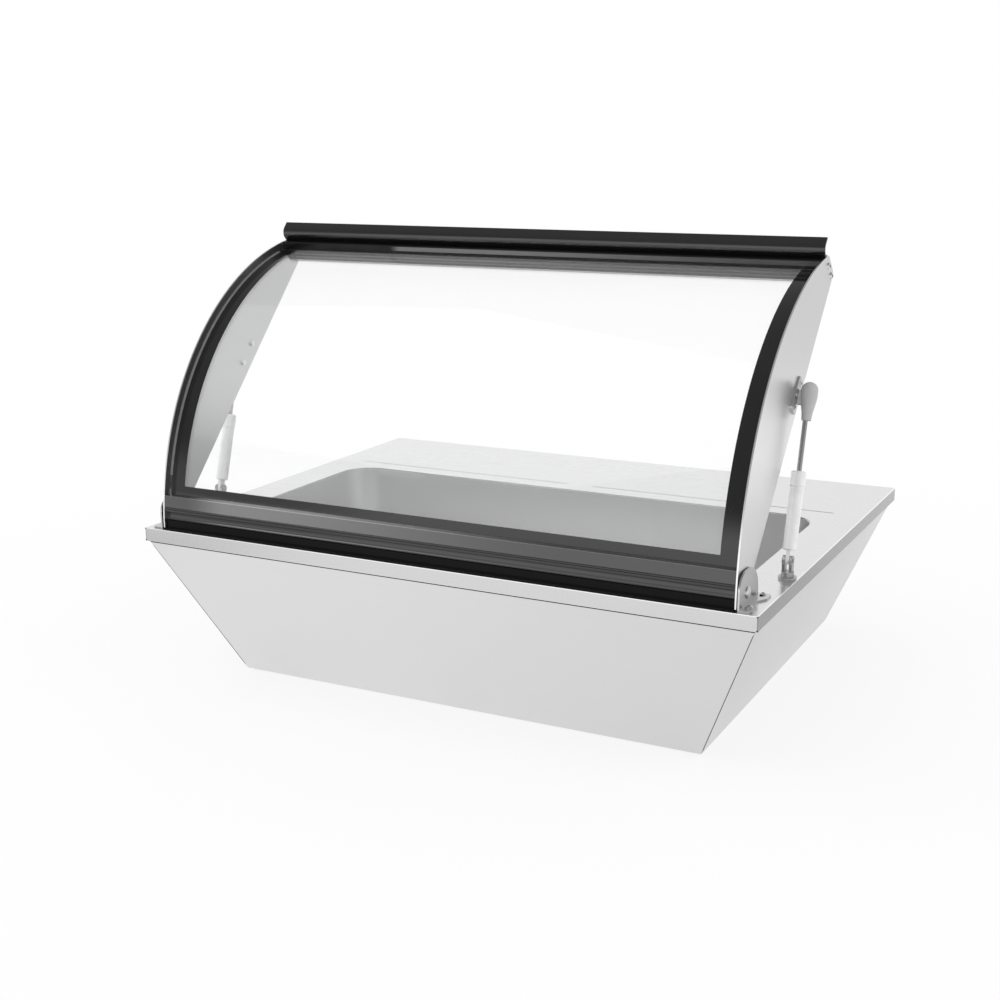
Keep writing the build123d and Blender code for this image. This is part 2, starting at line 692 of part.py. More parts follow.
with BuildPart() as rocker:
    reach, half = 8.5, ROCKER_SIZE[1] / 2
    with BuildSketch(side(-SWITCH_AT[0] - ROCKER_SIZE[0] / 2)):
        with Locations(Location((ROCKER_Y, SWITCH_AT[1]), ROCKER_TILT)):
            Polygon(
                (reach, half), (reach - 2.5, 0), (reach, -half), (-2, -half), (-5, 0), (-2, half),
                align=None,
            )
    extrude(amount=ROCKER_SIZE[0])
rocker.part.label = "switch_rocker"
export_step(rocker.part, "parts/switch_rocker.step")

GLAND_BORE = 3.75
GLAND_INNER = REAR_Y - 12.0
GLAND_OUTER = REAR_Y + 10.5

# Mains gland: nut inside, collar and clamping dome outside, clear bore through all
with BuildPart() as gland:
    axis_point = at(-GLAND_AT[0], 0, GLAND_AT[1])
    with BuildSketch(side(-GLAND_AT[0])):
        with BuildLine():
            z = GLAND_AT[1]
            Polyline(
                (GLAND_INNER, z + GLAND_BORE), (GLAND_INNER, z + 8), (REAR_Y - 5.7, z + 8),
                (REAR_Y - 5.7, z + 11.5), (REAR_Y - 1.3, z + 11.5), (REAR_Y - 1.3, z + 8),
                (REAR_Y + 0.1, z + 8), (REAR_Y + 0.1, z + 11), (REAR_Y + 4.5, z + 11),
                (REAR_Y + 4.5, z + 9.6), (REAR_Y + 8, z + 9.2), (GLAND_OUTER, z + 6.8),
                (GLAND_OUTER, z + GLAND_BORE), (GLAND_INNER, z + GLAND_BORE),
            )
        make_face()
    revolve(axis=Axis(axis_point, (0, 1, 0)))
gland.part.label = "power_gland"
export_step(gland.part, "parts/power_gland.step")


def pan_screw(radius, height, shank_radius=0.0, shank=0.0):
    """Pan-headed screw or rivet: its head on the level plane, its shank below."""
    with BuildPart() as screw:
        with BuildSketch(Plane.XZ):
            with BuildLine():
                crown = (radius * 0.4, height)
                shoulder = (radius, height * 0.35)
                Polyline(crown, (0, height), (0, 0), (radius, 0), shoulder)
                ThreePointArc(shoulder, (radius * 0.78, height * 0.82), crown)
            make_face()
        revolve(axis=Axis.Z)
        if shank:
            with BuildSketch(Plane.XY):
                Circle(shank_radius)
            extrude(amount=-shank)
    return screw.part


def outward(sign, x, y, z):
    """Place on one side of the case, facing out from it."""
    return Plane(origin=at(sign * x, y, z), z_dir=(sign, 0, 0)).location


REAR_SCREWS = ((-395, -40), (395, -40), (-140, -24), (140, -24), (-328, -192), (328, -192))

with BuildPart() as rear_screws:
    with Locations(*[Plane(origin=at(x, REAR_Y, z), z_dir=(0, 1, 0)).location for x, z in REAR_SCREWS]):
        add(pan_screw(4.0, 2.0))
rear_screws.part.label = "rear_panel_screws"
export_step(rear_screws.part, "parts/rear_panel_screws.step")

# Hood. Cheeks: laser-cut steel plates with a folded-in flange under the glass
CHEEK_FOOT = 2.0
FLANGE = (350.2, 351.8, 18.0)
RAIL_SCREWS = [hood(450.5, 27), hood(450.5, 8), (22.0, 28.0)]
SUNK_HEAD = 3.8
PLATE_MIDDLE = 267.6
PLATE_SCREWS = [hood(PLATE_MIDDLE + step, STRUT_PLATE_AT[1]) for step in (-16.4, 16.4)]


def ring(inner, outer, start, end):
    """Face between two of the hood's circles, from one angle to another."""
    with BuildLine() as outline:
        for radius in (inner, outer):
            hood_arc(radius, on_arc(radius, start), on_arc(radius, end))
        for angle in (start, end):
            Line(on_arc(inner, angle), on_arc(outer, angle))
    make_face(outline.edges())


def corner(sketch, point):
    """Sketch corner nearest a point."""
    return min(sketch.vertices(), key=lambda vertex: hypot(vertex.X - point[0], vertex.Y - point[1]))


for name, sign in SIDES:
    with BuildPart() as cheek:
        with BuildSketch(side(sign * CHEEK_IN)) as outline:
            nose = arc_at_height(CHEEK_RADIUS, 14)
            heel = hood((CHEEK_FOOT - CHORD_START[1]) / ALONG[1], 0)
            tail = hood(HOOD_LENGTH, 0)
            crown = arc_at_length(CHEEK_RADIUS, HOOD_LENGTH)
            with BuildLine():
                Polyline(nose, (nose[0], CHEEK_FOOT), heel, tail, crown)
                hood_arc(CHEEK_RADIUS, crown, nose)
            make_face()
            fillet(corner(outline, tail), 8)
            fillet(corner(outline, crown), 4)
            fillet(corner(outline, heel), 4)
            with Locations(PIN):
                Circle(PIN_RADIUS + 0.05, mode=Mode.SUBTRACT)
            with Locations(*RAIL_SCREWS[:2], *PLATE_SCREWS):
                Circle(2.1, mode=Mode.SUBTRACT)
            with Locations(RAIL_SCREWS[2]):
                Circle(SUNK_HEAD + 0.1, mode=Mode.SUBTRACT)
        extrude(amount=sign * CHEEK_THICK)
        with BuildSketch(side(sign * CHEEK_IN)):
            ring(FLANGE[0], FLANGE[1], 9, 76)
        extrude(amount=-sign * FLANGE[2])
    cheek.part.label = f"{name}_cheek"
    export_step(cheek.part, f"parts/{name}_cheek.step")

GLASS_FOOT = 36.0
GLASS_HEAD = 442.0
GLASS_INNER = GLASS_RADIUS - GLASS_THICK

# Glass: one curved toughened pane between the cheeks, set into both rails
with BuildPart() as glass:
    with BuildSketch(side(-CHEEK_IN + 0.4)):
        with BuildLine():
            for radius in (GLASS_INNER, GLASS_RADIUS):
                hood_arc(radius, arc_at_height(radius, GLASS_FOOT), arc_at_length(radius, GLASS_HEAD))
            Line(arc_at_height(GLASS_INNER, GLASS_FOOT), arc_at_height(GLASS_RADIUS, GLASS_FOOT))
            Line(arc_at_length(GLASS_INNER, GLASS_HEAD), arc_at_length(GLASS_RADIUS, GLASS_HEAD))
        make_face()
    extrude(amount=2 * (CHEEK_IN - 0.4))
glass.part.label = "hood_glass"
export_step(glass.part, "parts/hood_glass.step")

BEAD = 2.4

# Side seals: a bead of sealant in the corner between the glass and each cheek
with BuildPart() as seals:
    centre = at(0, *ARC_CENTRE)
    start = radians(12)
    for sign in (-1, 1):
        with BuildSketch(Plane(origin=centre, x_dir=(1, 0, 0), z_dir=(0, -sin(start), -cos(start)))):
            with BuildLine():
                low = (sign * (CHEEK_IN - BEAD), GLASS_RADIUS + 0.05)
                high = (sign * (CHEEK_IN - 0.05), GLASS_RADIUS + BEAD)
                Polyline(high, (high[0], low[1]), low)
                ThreePointArc(low, (sign * (CHEEK_IN - 0.38 * BEAD), GLASS_RADIUS + 0.38 * BEAD), high)
            make_face()
        revolve(axis=Axis(centre, (1, 0, 0)), revolution_arc=-64)
seals.part.label = "glass_side_seals"
export_step(seals.part, "parts/glass_side_seals.step")

NOSE_RADIUS = 21.0
RAIL_WALL = 2.2
RAIL_HALF = CHEEK_IN - 0.1
LEDGE = 45.0

# Lower hood rail: a hollow extrusion with a glass groove, two beads and a round nose about the hinge
with BuildPart() as lower_rail:
    with BuildSketch(side(-RAIL_HALF)):
        with BuildLine():
            front = arc_at_height(CHEEK_RADIUS, LEDGE)
            base = CHEEK_FOOT + 0.2
            nose_y = PIN[0] - sqrt(NOSE_RADIUS**2 - 81)
            nose_foot = PIN[0] - sqrt(NOSE_RADIUS**2 - (base - PIN[1]) ** 2)
            lip = arc_at_height(GLASS_INNER - 0.2 - RAIL_WALL, LEDGE - 2)
            Polyline(
                front, arc_at_height(CHEEK_RADIUS, 30), (8.2, 30), (8.2, 29), (7.0, 29), (7.0, 27.6),
                (8.4, 27.6), (8.4, 26.6), (7.4, 26.6), (7.4, 24), (nose_y, 24),
            )
            ThreePointArc((nose_y, 24), (PIN[0] - NOSE_RADIUS, PIN[1]), (nose_foot, base))
            Polyline(
                (nose_foot, base), hood((base - CHORD_START[1]) / ALONG[1], 0.8), hood(30, 0.8),
                (lip[0] + 2.5, lip[1] - 3), lip, arc_at_height(GLASS_INNER - 0.2, LEDGE - 2),
                arc_at_height(GLASS_INNER - 0.2, 34), arc_at_height(GLASS_RADIUS + 0.2, 34),
                arc_at_height(GLASS_RADIUS + 0.2, LEDGE), front,
            )
        make_face()
        with BuildLine():
            Polyline((9.6, 43), (9.6, 31.6), (17.6, 31.6), (17.6, 43), (9.6, 43))
        make_face(mode=Mode.SUBTRACT)
        with BuildLine():
            Polyline(
                hood(27.5, 3), (31, 36.5), (28.6, 31.6), (20.5, 31.6), (18, 24), (14.6, 19), (14.6, 11),
                (18.5, 4.4), (34.5, 4.4), hood(27.5, 3),
            )
        make_face(mode=Mode.SUBTRACT)
        with Locations(RAIL_SCREWS[2]):
            Circle(4.6)
            Circle(2.1, mode=Mode.SUBTRACT)
    extrude(amount=2 * RAIL_HALF)
lower_rail.part.label = "hood_lower_rail"
export_step(lower_rail.part, "parts/hood_lower_rail.step")

# Top rail: a hollow extrusion across the hood's rear edge, with the upper glass groove
with BuildPart() as top_rail:
    with BuildSketch(side(-RAIL_HALF)) as outline:
        with BuildLine():
            end = arc_at_length(CHEEK_RADIUS, HOOD_LENGTH - 0.5)
            hood_arc(CHEEK_RADIUS, on_arc(CHEEK_RADIUS, 78), end)
            inner = GLASS_INNER - 0.2 - RAIL_WALL
            Polyline(
                end, hood(HOOD_LENGTH - 0.5, 1.5), hood(442.5, 1.5), hood(433, 17),
                arc_at_length(inner, 433), on_arc(inner, 78), on_arc(GLASS_INNER - 0.2, 78),
            )
            groove = (GLASS_INNER - 0.2, GLASS_RADIUS + 0.2)
            for radius in groove:
                hood_arc(radius, on_arc(radius, 78), arc_at_length(radius, GLASS_HEAD + 0.4))
            Line(*[arc_at_length(radius, GLASS_HEAD + 0.4) for radius in groove])
            Line(on_arc(GLASS_RADIUS + 0.2, 78), on_arc(CHEEK_RADIUS, 78))
        make_face()
        fillet(corner(outline, on_arc(CHEEK_RADIUS, 78)), 1.5)
        with BuildLine():
            cavity = (
                (439, 18), (439, 25), (445, 25), (445, 40), (458.3, 30.5), (458.3, 3.8), (447.3, 3.8),
                (439, 18),
            )
            Polyline(*[hood(*point) for point in cavity])
        make_face(mode=Mode.SUBTRACT)
        for point, web in zip(RAIL_SCREWS[:2], ((454, 27), (450.5, 4))):
            with Locations(Location(hood(*web), CLOSING_ANGLE)):
                Rectangle(9 if web[0] > 451 else 3, 3)
            with Locations(point):
                Circle(4.4)
        with Locations(*RAIL_SCREWS[:2]):
            Circle(2.1, mode=Mode.SUBTRACT)
    extrude(amount=2 * RAIL_HALF)
top_rail.part.label = "hood_top_rail"
export_step(top_rail.part, "parts/hood_top_rail.step")

# Handle: a bent lip on the top rail, over the full width of the cheeks
with BuildPart() as handle:
    with BuildSketch(side(-CHEEK_OUT)):
        with BuildLine() as lip_line:
            foot = arc_at_length(CHEEK_RADIUS + 0.1, 454)
            bend = arc_at_length(CHEEK_RADIUS + 0.1, 449.5)
            Polyline(foot, bend, hood(449.7, 49.5))
            ThreePointArc(hood(449.7, 49.5), hood(453.0, 55.6), hood(460.5, 58.4))
            Line(hood(460.5, 58.4), hood(469.5, 58.4))
            offset(amount=2.4, side=Side.RIGHT)
        make_face(lip_line.edges())
    extrude(amount=2 * CHEEK_OUT)
handle.part.label = "handle_profile"
export_step(handle.part, "parts/handle_profile.step")

with BuildPart() as rail_screws:
    for sign in (-1, 1):
        with Locations(*[outward(sign, CHEEK_OUT, *point) for point in RAIL_SCREWS[:2]]):
            add(pan_screw(4.6, 2.4, 2.0, 14))
        with Locations(outward(sign, CHEEK_IN, *RAIL_SCREWS[2])):
            add(pan_screw(SUNK_HEAD, CHEEK_THICK - 0.1, 2.0, 12))
rail_screws.part.label = "rail_screws"
export_step(rail_screws.part, "parts/rail_screws.step")

# Bumpers: two soft pads under the top rail, which meet the worktop when the hood is down
with BuildPart() as bumpers:
    for sign in (-1, 1):
        point = hood(455.5, 1.5)
        with BuildSketch(Plane(origin=at(sign * 300, *point), z_dir=(0, -OFF[0], -OFF[1]))):
            Circle(4.5)
        extrude(amount=5.2)
bumpers.part.label = "hood_bumpers"
export_step(bumpers.part, "parts/hood_bumpers.step")

# Fixed rail on the worktop, hollowed to the hood's round nose
with BuildPart() as base_rail:
    with BuildSketch(side(-CHEEK_IN + 1)):
        with BuildLine():
            inner = NOSE_RADIUS + 0.6
            turn = radians(14)
            top_point = (PIN[0] - sqrt(inner**2 - 16), 11)
            foot_point = (PIN[0] - sqrt(inner**2 - 13.5**2), 1.5)
            middle = (PIN[0] - inner * cos(turn), PIN[1] - inner * sin(turn))
            ThreePointArc(top_point, middle, foot_point)
            Polyline(foot_point, (30, 1.5), (30, 0), (10, 0), (10, 11), top_point)
        make_face()
    extrude(amount=2 * (CHEEK_IN - 1))
base_rail.part.label = "base_rail"
export_step(base_rail.part, "parts/base_rail.step")

# Hinges: an upright tab with a base flange, a black washer behind it and a riveted pin
TAB_X = 395.0
TAB_THICK = 2.2
TAB_FRONT = 5.0
TAB_BACK = 72.0
TAB_HEIGHT = 41.0
FLANGE_SHEET = 2.0
FLANGE_WAIST = 405.0
FLANGE_REACH = 411.5
WASHER_RADIUS = 25.0

for name, sign in SIDES:
    with BuildPart() as bracket:
        with BuildSketch(side(sign * TAB_X)) as outline:
            with Locations(((TAB_FRONT + TAB_BACK) / 2, TAB_HEIGHT / 2)):
                Rectangle(TAB_BACK - TAB_FRONT, TAB_HEIGHT)
            fillet(corner(outline, (TAB_FRONT, TAB_HEIGHT)), 20)
            fillet(corner(outline, (TAB_BACK, TAB_HEIGHT)), 33)
            with Locations(PIN):
                Circle(PIN_RADIUS + 0.05, mode=Mode.SUBTRACT)
        extrude(amount=sign * TAB_THICK)
        with BuildSketch(level(0)) as flange:
            with BuildLine():
                back = TAB_BACK + 6
                edge = [
                    (TAB_X, TAB_FRONT), (FLANGE_REACH - 3, TAB_FRONT), (FLANGE_REACH, 8),
                    (FLANGE_REACH, 25), (FLANGE_WAIST, 36), (FLANGE_WAIST, 48), (FLANGE_REACH, 60),
                    (FLANGE_REACH, back - 3), (FLANGE_REACH - 3, back), (TAB_X, back),
                ]
                Polyline(*[(sign * x, y) for x, y in edge], close=True)
            make_face()
            for y in (36, 48):
                fillet(corner(flange, (sign * FLANGE_WAIST, y)), 9)
            with Locations((sign * BRACKET_SCREW[0], BRACKET_SCREW[1])):
                Circle(2.2, mode=Mode.SUBTRACT)
            with Locations((sign * BRACKET_SLOT[0], BRACKET_SLOT[1])):
                SlotOverall(*BRACKET_SLOT_SIZE, rotation=90, mode=Mode.SUBTRACT)
        extrude(amount=FLANGE_SHEET)
    bracket.part.label = f"{name}_hinge_bracket"
    export_step(bracket.part, f"parts/{name}_hinge_bracket.step")

with BuildPart() as bracket_screws:
    for sign in (-1, 1):
        with Locations(Location(at(sign * BRACKET_SCREW[0], BRACKET_SCREW[1], FLANGE_SHEET))):
            add(pan_screw(4.6, 2.4, 2.0, FLANGE_SHEET))
        with Locations(Location(at(sign * BRACKET_SLOT[0], BRACKET_SLOT[1] + 2.6, FLANGE_SHEET))):
            add(pan_screw(3.6, 2.0, 2.0, FLANGE_SHEET + TOP_SHEET))
bracket_screws.part.label = "bracket_screws"
export_step(bracket_screws.part, "parts/bracket_screws.step")

with BuildPart() as washers:
    for sign in (-1, 1):
        with BuildSketch(side(sign * (TAB_X - 1.2))):
            with Locations(PIN):
                Circle(WASHER_RADIUS)
                Circle(PIN_RADIUS + 0.05, mode=Mode.SUBTRACT)
            with Locations((PIN[0], -14)):
                Rectangle(70, 29, mode=Mode.SUBTRACT)
        extrude(amount=sign * 1.2)
washers.part.label = "hinge_washers"
export_step(washers.part, "parts/hinge_washers.step")

with BuildPart() as pins:
    for sign in (-1, 1):
        with Locations(outward(sign, TAB_X + TAB_THICK, *PIN)):
            add(pan_screw(7.0, 2.6, PIN_RADIUS, TAB_X + TAB_THICK - CHEEK_IN + 0.3))
        with Locations(outward(-sign, -CHEEK_IN + 0.3, *PIN)):
            add(pan_screw(6.0, 1.4))
pins.part.label = "hinge_pins"
export_step(pins.part, "parts/hinge_pins.step")

# Gas springs: foot on the worktop, cylinder swinging on it, rod and end piece, plate on the cheek
STRUT_HEAD = hood(*STRUT_PLATE_AT)
STRUT_LENGTH = hypot(STRUT_HEAD[0] - STRUT_FOOT[0], STRUT_HEAD[1] - STRUT_FOOT[1])
STRUT_DIR = tuple((STRUT_HEAD[i] - STRUT_FOOT[i]) / STRUT_LENGTH for i in (0, 1))
STRUT_ANGLE = degrees(atan2(STRUT_DIR[1], STRUT_DIR[0]))
TUBE_START = 12.0
TUBE_END = 104.6
CAP_LENGTH = 18.0
CAP_RADIUS = 8.9
PISTON = (96.5, 100.5)
ROD_END = 164.0
HEAD_RADIUS = 9.8
HEAD_CENTRE = STRUT_LENGTH + 5.0
HEAD_SHIFT = 1.0


def strut(s, r):
    """Side-view point at s along the gas spring from its foot and r to one side of it."""
    along = tuple(STRUT_FOOT[i] + s * STRUT_DIR[i] for i in (0, 1))
    return (along[0] - r * STRUT_DIR[1], along[1] + r * STRUT_DIR[0])


def turned(x, points, bulge=None):
    """Solid turned about a gas spring's axis at x, from a profile of (length, radius) points."""
    with BuildPart() as form:
        with BuildSketch(side(x)):
            with BuildLine():
                Polyline(*[strut(*point) for point in points])
                if bulge:
                    ThreePointArc(strut(*points[-1]), strut(*bulge), strut(*points[0]))
                else:
                    Line(strut(*points[-1]), strut(*points[0]))
            make_face()
        revolve(axis=Axis(at(x, *STRUT_FOOT), (0, *STRUT_DIR)))
    return form.part


for name, sign in SIDES:
    with BuildPart() as tube:
        bore = TUBE_RADIUS - 1.0
        cap_foot = TUBE_END - CAP_LENGTH
        add(turned(sign * STRUT_X, [
            (TUBE_START, 0), (TUBE_START, 6.5), (TUBE_START + 1.5, TUBE_RADIUS), (cap_foot, TUBE_RADIUS),
            (cap_foot + 0.6, CAP_RADIUS), (TUBE_END - 1.2, CAP_RADIUS), (TUBE_END, CAP_RADIUS - 1.2),
            (TUBE_END, ROD_RADIUS + 0.05), (TUBE_END - 2.5, ROD_RADIUS + 0.05), (TUBE_END - 2.5, bore),
            (TUBE_START + 4, bore), (TUBE_START + 4, 0),
        ]))
        with BuildSketch(side(sign * STRUT_X - 2.25)):
            with Locations(Location(strut(TUBE_START / 2, 0), STRUT_ANGLE)):
                Rectangle(TUBE_START + 0.4, 9)
            with Locations(STRUT_FOOT):
                Circle(4.5)
                Circle(2.55, mode=Mode.SUBTRACT)
        extrude(amount=4.5)
    tube.part.label = f"{name}_strut_tube"
    export_step(tube.part, f"parts/{name}_strut_tube.step")

    with BuildPart() as rod:
        add(turned(sign * STRUT_X, [
            (PISTON[0], 0), (PISTON[0], TUBE_RADIUS - 1.05), (PISTON[1], TUBE_RADIUS - 1.05),
            (PISTON[1], ROD_RADIUS), (ROD_END, ROD_RADIUS), (ROD_END, 0),
        ]))
    rod.part.label = f"{name}_strut_rod"
    export_step(rod.part, f"parts/{name}_strut_rod.step")

    with BuildPart() as end_piece:
        slant = HEAD_RADIUS * sqrt(0.5)
        add(turned(sign * (STRUT_X + HEAD_SHIFT), [
            (HEAD_CENTRE + HEAD_RADIUS, 0), (ROD_END, 0), (ROD_END, 5.6), (ROD_END + 9, 6.4),
            (ROD_END + 22, 9), (ROD_END + 28, HEAD_RADIUS), (HEAD_CENTRE, HEAD_RADIUS),
        ], (HEAD_CENTRE + slant, slant)))
        with BuildSketch(side(sign * (STRUT_X - 10.8))):
            with Locations(Location(strut(STRUT_LENGTH - 4.3, 0), STRUT_ANGLE)):
                RectangleRounded(17.6, 9.6, 3)
        extrude(amount=sign * 8)
    end_piece.part.label = f"{name}_rod_end"
    export_step(end_piece.part, f"parts/{name}_rod_end.step")

PLATE_SHEET = 2.2

with BuildPart() as plates:
    for sign in (-1, 1):
        with BuildSketch(side(sign * CHEEK_OUT)):
            with Locations(Location(hood(PLATE_MIDDLE, STRUT_PLATE_AT[1]), CLOSING_ANGLE)):
                RectangleRounded(46, 18, 4)
            with Locations(*PLATE_SCREWS):
                Circle(2.1, mode=Mode.SUBTRACT)
        extrude(amount=sign * PLATE_SHEET)
        with BuildSketch(side(sign * (CHEEK_OUT + PLATE_SHEET))):
            with Locations(STRUT_HEAD):
                Circle(6)
        extrude(amount=sign * 1.0)
plates.part.label = "strut_plates"
export_step(plates.part, "parts/strut_plates.step")

with BuildPart() as plate_screws:
    for sign in (-1, 1):
        with Locations(*[outward(sign, CHEEK_OUT + PLATE_SHEET, *point) for point in PLATE_SCREWS]):
            add(pan_screw(3.7, 1.1, 2.0, 7.5))
plate_screws.part.label = "strut_plate_screws"
export_step(plate_screws.part, "parts/strut_plate_screws.step")

with BuildPart() as plate_nuts:
    for sign in (-1, 1):
        with BuildSketch(side(sign * CHEEK_IN)):
            with Locations(*PLATE_SCREWS):
                RegularPolygon(4.0, 6)
                Circle(2.05, mode=Mode.SUBTRACT)
        extrude(amount=-sign * 2.4)
plate_nuts.part.label = "strut_plate_nuts"
export_step(plate_nuts.part, "parts/strut_plate_nuts.step")

# Feet of the gas springs: a flanged fork on the worktop with a cross pin
FORK_GAP = 5.0
FORK_SHEET = 3.4
FORK_FLOOR = 9.0
FORK_FOOT_RADIUS = 10.8

with BuildPart() as forks:
    for sign in (-1, 1):
        for radius, height in ((FORK_FOOT_RADIUS, 3), (7.5, FORK_FLOOR)):
            with BuildSketch(level(0)):
                with Locations((sign * STRUT_X, STRUT_FOOT[0])):
                    Circle(radius)
            extrude(amount=height)
        for leg in (-1, 1):
            inner = sign * STRUT_X + leg * FORK_GAP / 2
            with BuildSketch(side(inner)):
                with Locations((STRUT_FOOT[0], (FORK_FLOOR + STRUT_FOOT[1]) / 2)):
                    Rectangle(9, STRUT_FOOT[1] - FORK_FLOOR)
                with Locations(STRUT_FOOT):
                    Circle(6)
            extrude(amount=leg * FORK_SHEET)
        with BuildSketch(side(sign * STRUT_X - FORK_GAP / 2 - FORK_SHEET - 0.8)):
            with Locations(STRUT_FOOT):
                Circle(2.5)
        extrude(amount=FORK_GAP + 2 * FORK_SHEET + 1.6)
forks.part.label = "strut_forks"
export_step(forks.part, "parts/strut_forks.step")
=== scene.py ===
import math

import bpy
import numpy as np
from mathutils import Matrix, Vector

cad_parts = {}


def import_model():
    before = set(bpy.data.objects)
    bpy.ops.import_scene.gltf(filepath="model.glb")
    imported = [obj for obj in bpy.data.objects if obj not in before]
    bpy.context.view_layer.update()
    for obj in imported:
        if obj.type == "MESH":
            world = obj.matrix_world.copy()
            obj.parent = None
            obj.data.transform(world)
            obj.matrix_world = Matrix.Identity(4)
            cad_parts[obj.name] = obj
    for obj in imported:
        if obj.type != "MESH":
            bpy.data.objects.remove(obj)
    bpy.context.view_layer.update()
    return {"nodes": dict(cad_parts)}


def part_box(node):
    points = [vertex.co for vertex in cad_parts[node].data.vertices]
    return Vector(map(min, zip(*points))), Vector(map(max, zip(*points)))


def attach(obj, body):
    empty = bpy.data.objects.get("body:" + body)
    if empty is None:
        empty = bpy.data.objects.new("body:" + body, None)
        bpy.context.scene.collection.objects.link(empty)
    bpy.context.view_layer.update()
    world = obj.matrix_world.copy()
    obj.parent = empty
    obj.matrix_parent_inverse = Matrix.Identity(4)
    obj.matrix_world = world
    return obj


# Countertop refrigerated display case: finishes, printed glass border, small marks and the studio.
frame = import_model()
nodes = frame["nodes"]

# Places of the case, in metres
worktop_low, worktop_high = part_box("worktop")
glass_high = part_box("hood_glass")[1]
TOP = worktop_high.z
RIM_LOW = worktop_low.z
FRONT_EDGE = worktop_low.y
SIDE_EDGE = worktop_high.x
ARC_CENTRE_Y = FRONT_EDGE + 0.374
ARC_CENTRE_Z = TOP - 0.005
GLASS_OUTER = 0.357
LEDGE_TOP = 0.261
CHEEK_INNER = 0.3915
SIDES = np.array([-1.0, 1.0])

# Limits between which a noise is spread over its whole range
NOISE_RANGE = (0.3, 0.7)


# Node building
class Shader:
    """One node tree, with short calls for the nodes that the finishes use."""

    def __init__(self, tree):
        self.tree = tree

    def node(self, kind, **settings):
        made = self.tree.nodes.new(kind)
        for name, value in settings.items():
            setattr(made, name, value)
        return made

    def join(self, source, target):
        self.tree.links.new(source, target)

    def feed(self, socket, value):
        """Links a socket to a socket, or sets a plain value on it."""
        if isinstance(value, bpy.types.NodeSocket):
            self.join(value, socket)
        else:
            socket.default_value = value

    def math(self, operation, first, second=0.0, third=None):
        made = self.node("ShaderNodeMath", operation=operation)
        self.feed(made.inputs[0], first)
        self.feed(made.inputs[1], second)
        if third is not None:
            self.feed(made.inputs[2], third)
        return made.outputs[0]

    def plus(self, first, second):
        return self.math("ADD", first, second)

    def minus(self, first, second):
        return self.math("SUBTRACT", first, second)

    def times(self, first, second):
        return self.math("MULTIPLY", first, second)

    def largest(self, first, second):
        return self.math("MAXIMUM", first, second)

    def magnitude(self, value):
        return self.math("ABSOLUTE", value)

    def above(self, value, limit):
        """1 where a value is above a limit, else 0."""
        return self.math("GREATER_THAN", value, limit)

    def below(self, value, limit):
        """1 where a value is below a limit, else 0."""
        return self.math("LESS_THAN", value, limit)

    def between(self, value, low, high):
        """1 between two limits, else 0."""
        return self.math("COMPARE", value, (low + high) / 2, (high - low) / 2)

    def remap(self, value, limits, results, curve="LINEAR"):
        """Turns one range of numbers into another, and stops at its ends."""
        made = self.node("ShaderNodeMapRange", interpolation_type=curve)
        for socket, item in zip(made.inputs, (value, *limits, *results)):
            self.feed(socket, item)
        return made.outputs[0]

    def fade(self, value, limits, results=(0.0, 1.0)):
        """Remap with soft ends."""
        return self.remap(value, limits, results, "SMOOTHSTEP")

    def mix(self, factor, first, second):
        """Mix of two colours."""
        made = self.node("ShaderNodeMix", data_type="RGBA")
        self.feed(made.inputs["Factor"], factor)
        self.feed(made.inputs[6], first)
        self.feed(made.inputs[7], second)
        return made.outputs[2]

    def number(self, factor, first, second):
        """Mix of two numbers."""
        made = self.node("ShaderNodeMix", data_type="FLOAT")
        sockets = made.inputs[0], made.inputs[2], made.inputs[3]
        for socket, value in zip(sockets, (factor, first, second)):
            self.feed(socket, value)
        return made.outputs[0]

    def place(self):
        return self.node("ShaderNodeTexCoord").outputs["Object"]

    def axes(self, vector):
        """X, Y and Z of a vector."""
        split = self.node("ShaderNodeSeparateXYZ")
        self.join(vector, split.inputs[0])
        return split.outputs["X"], split.outputs["Y"], split.outputs["Z"]

    def stretched(self, scale):
        made = self.node("ShaderNodeMapping")
        self.join(self.place(), made.inputs["Vector"])
        made.inputs["Scale"].default_value = scale
        return made.outputs[0]

    def noise(self, vector, scale, detail=2.0, roughness=0.5):
        made = self.node("ShaderNodeTexNoise")
        self.join(vector, made.inputs["Vector"])
        self.feed(made.inputs["Scale"], scale)
        made.inputs["Detail"].default_value = detail
        made.inputs["Roughness"].default_value = roughness
        return made.outputs["Fac"]

    def bump(self, height, strength, distance):
        made = self.node("ShaderNodeBump")
        made.inputs["Strength"].default_value = strength
        made.inputs["Distance"].default_value = distance
        self.join(height, made.inputs["Height"])
        return made.outputs[0]


def new_group(name, inputs, outputs):
    """Empty shader node group. inputs: sockets and their defaults; outputs: names of numbers."""
    group = bpy.data.node_groups.new(name, "ShaderNodeTree")
    for label, default in inputs.items():
        kind = "NodeSocketVector" if isinstance(default, tuple) else "NodeSocketFloat"
        socket = group.interface.new_socket(label, in_out="INPUT", socket_type=kind)
        socket.default_value = default
    for label in outputs:
        group.interface.new_socket(label, in_out="OUTPUT", socket_type="NodeSocketFloat")
    shader = Shader(group)
    given = shader.node("NodeGroupInput").outputs
    result = shader.node("NodeGroupOutput").inputs
    return group, shader, given, result


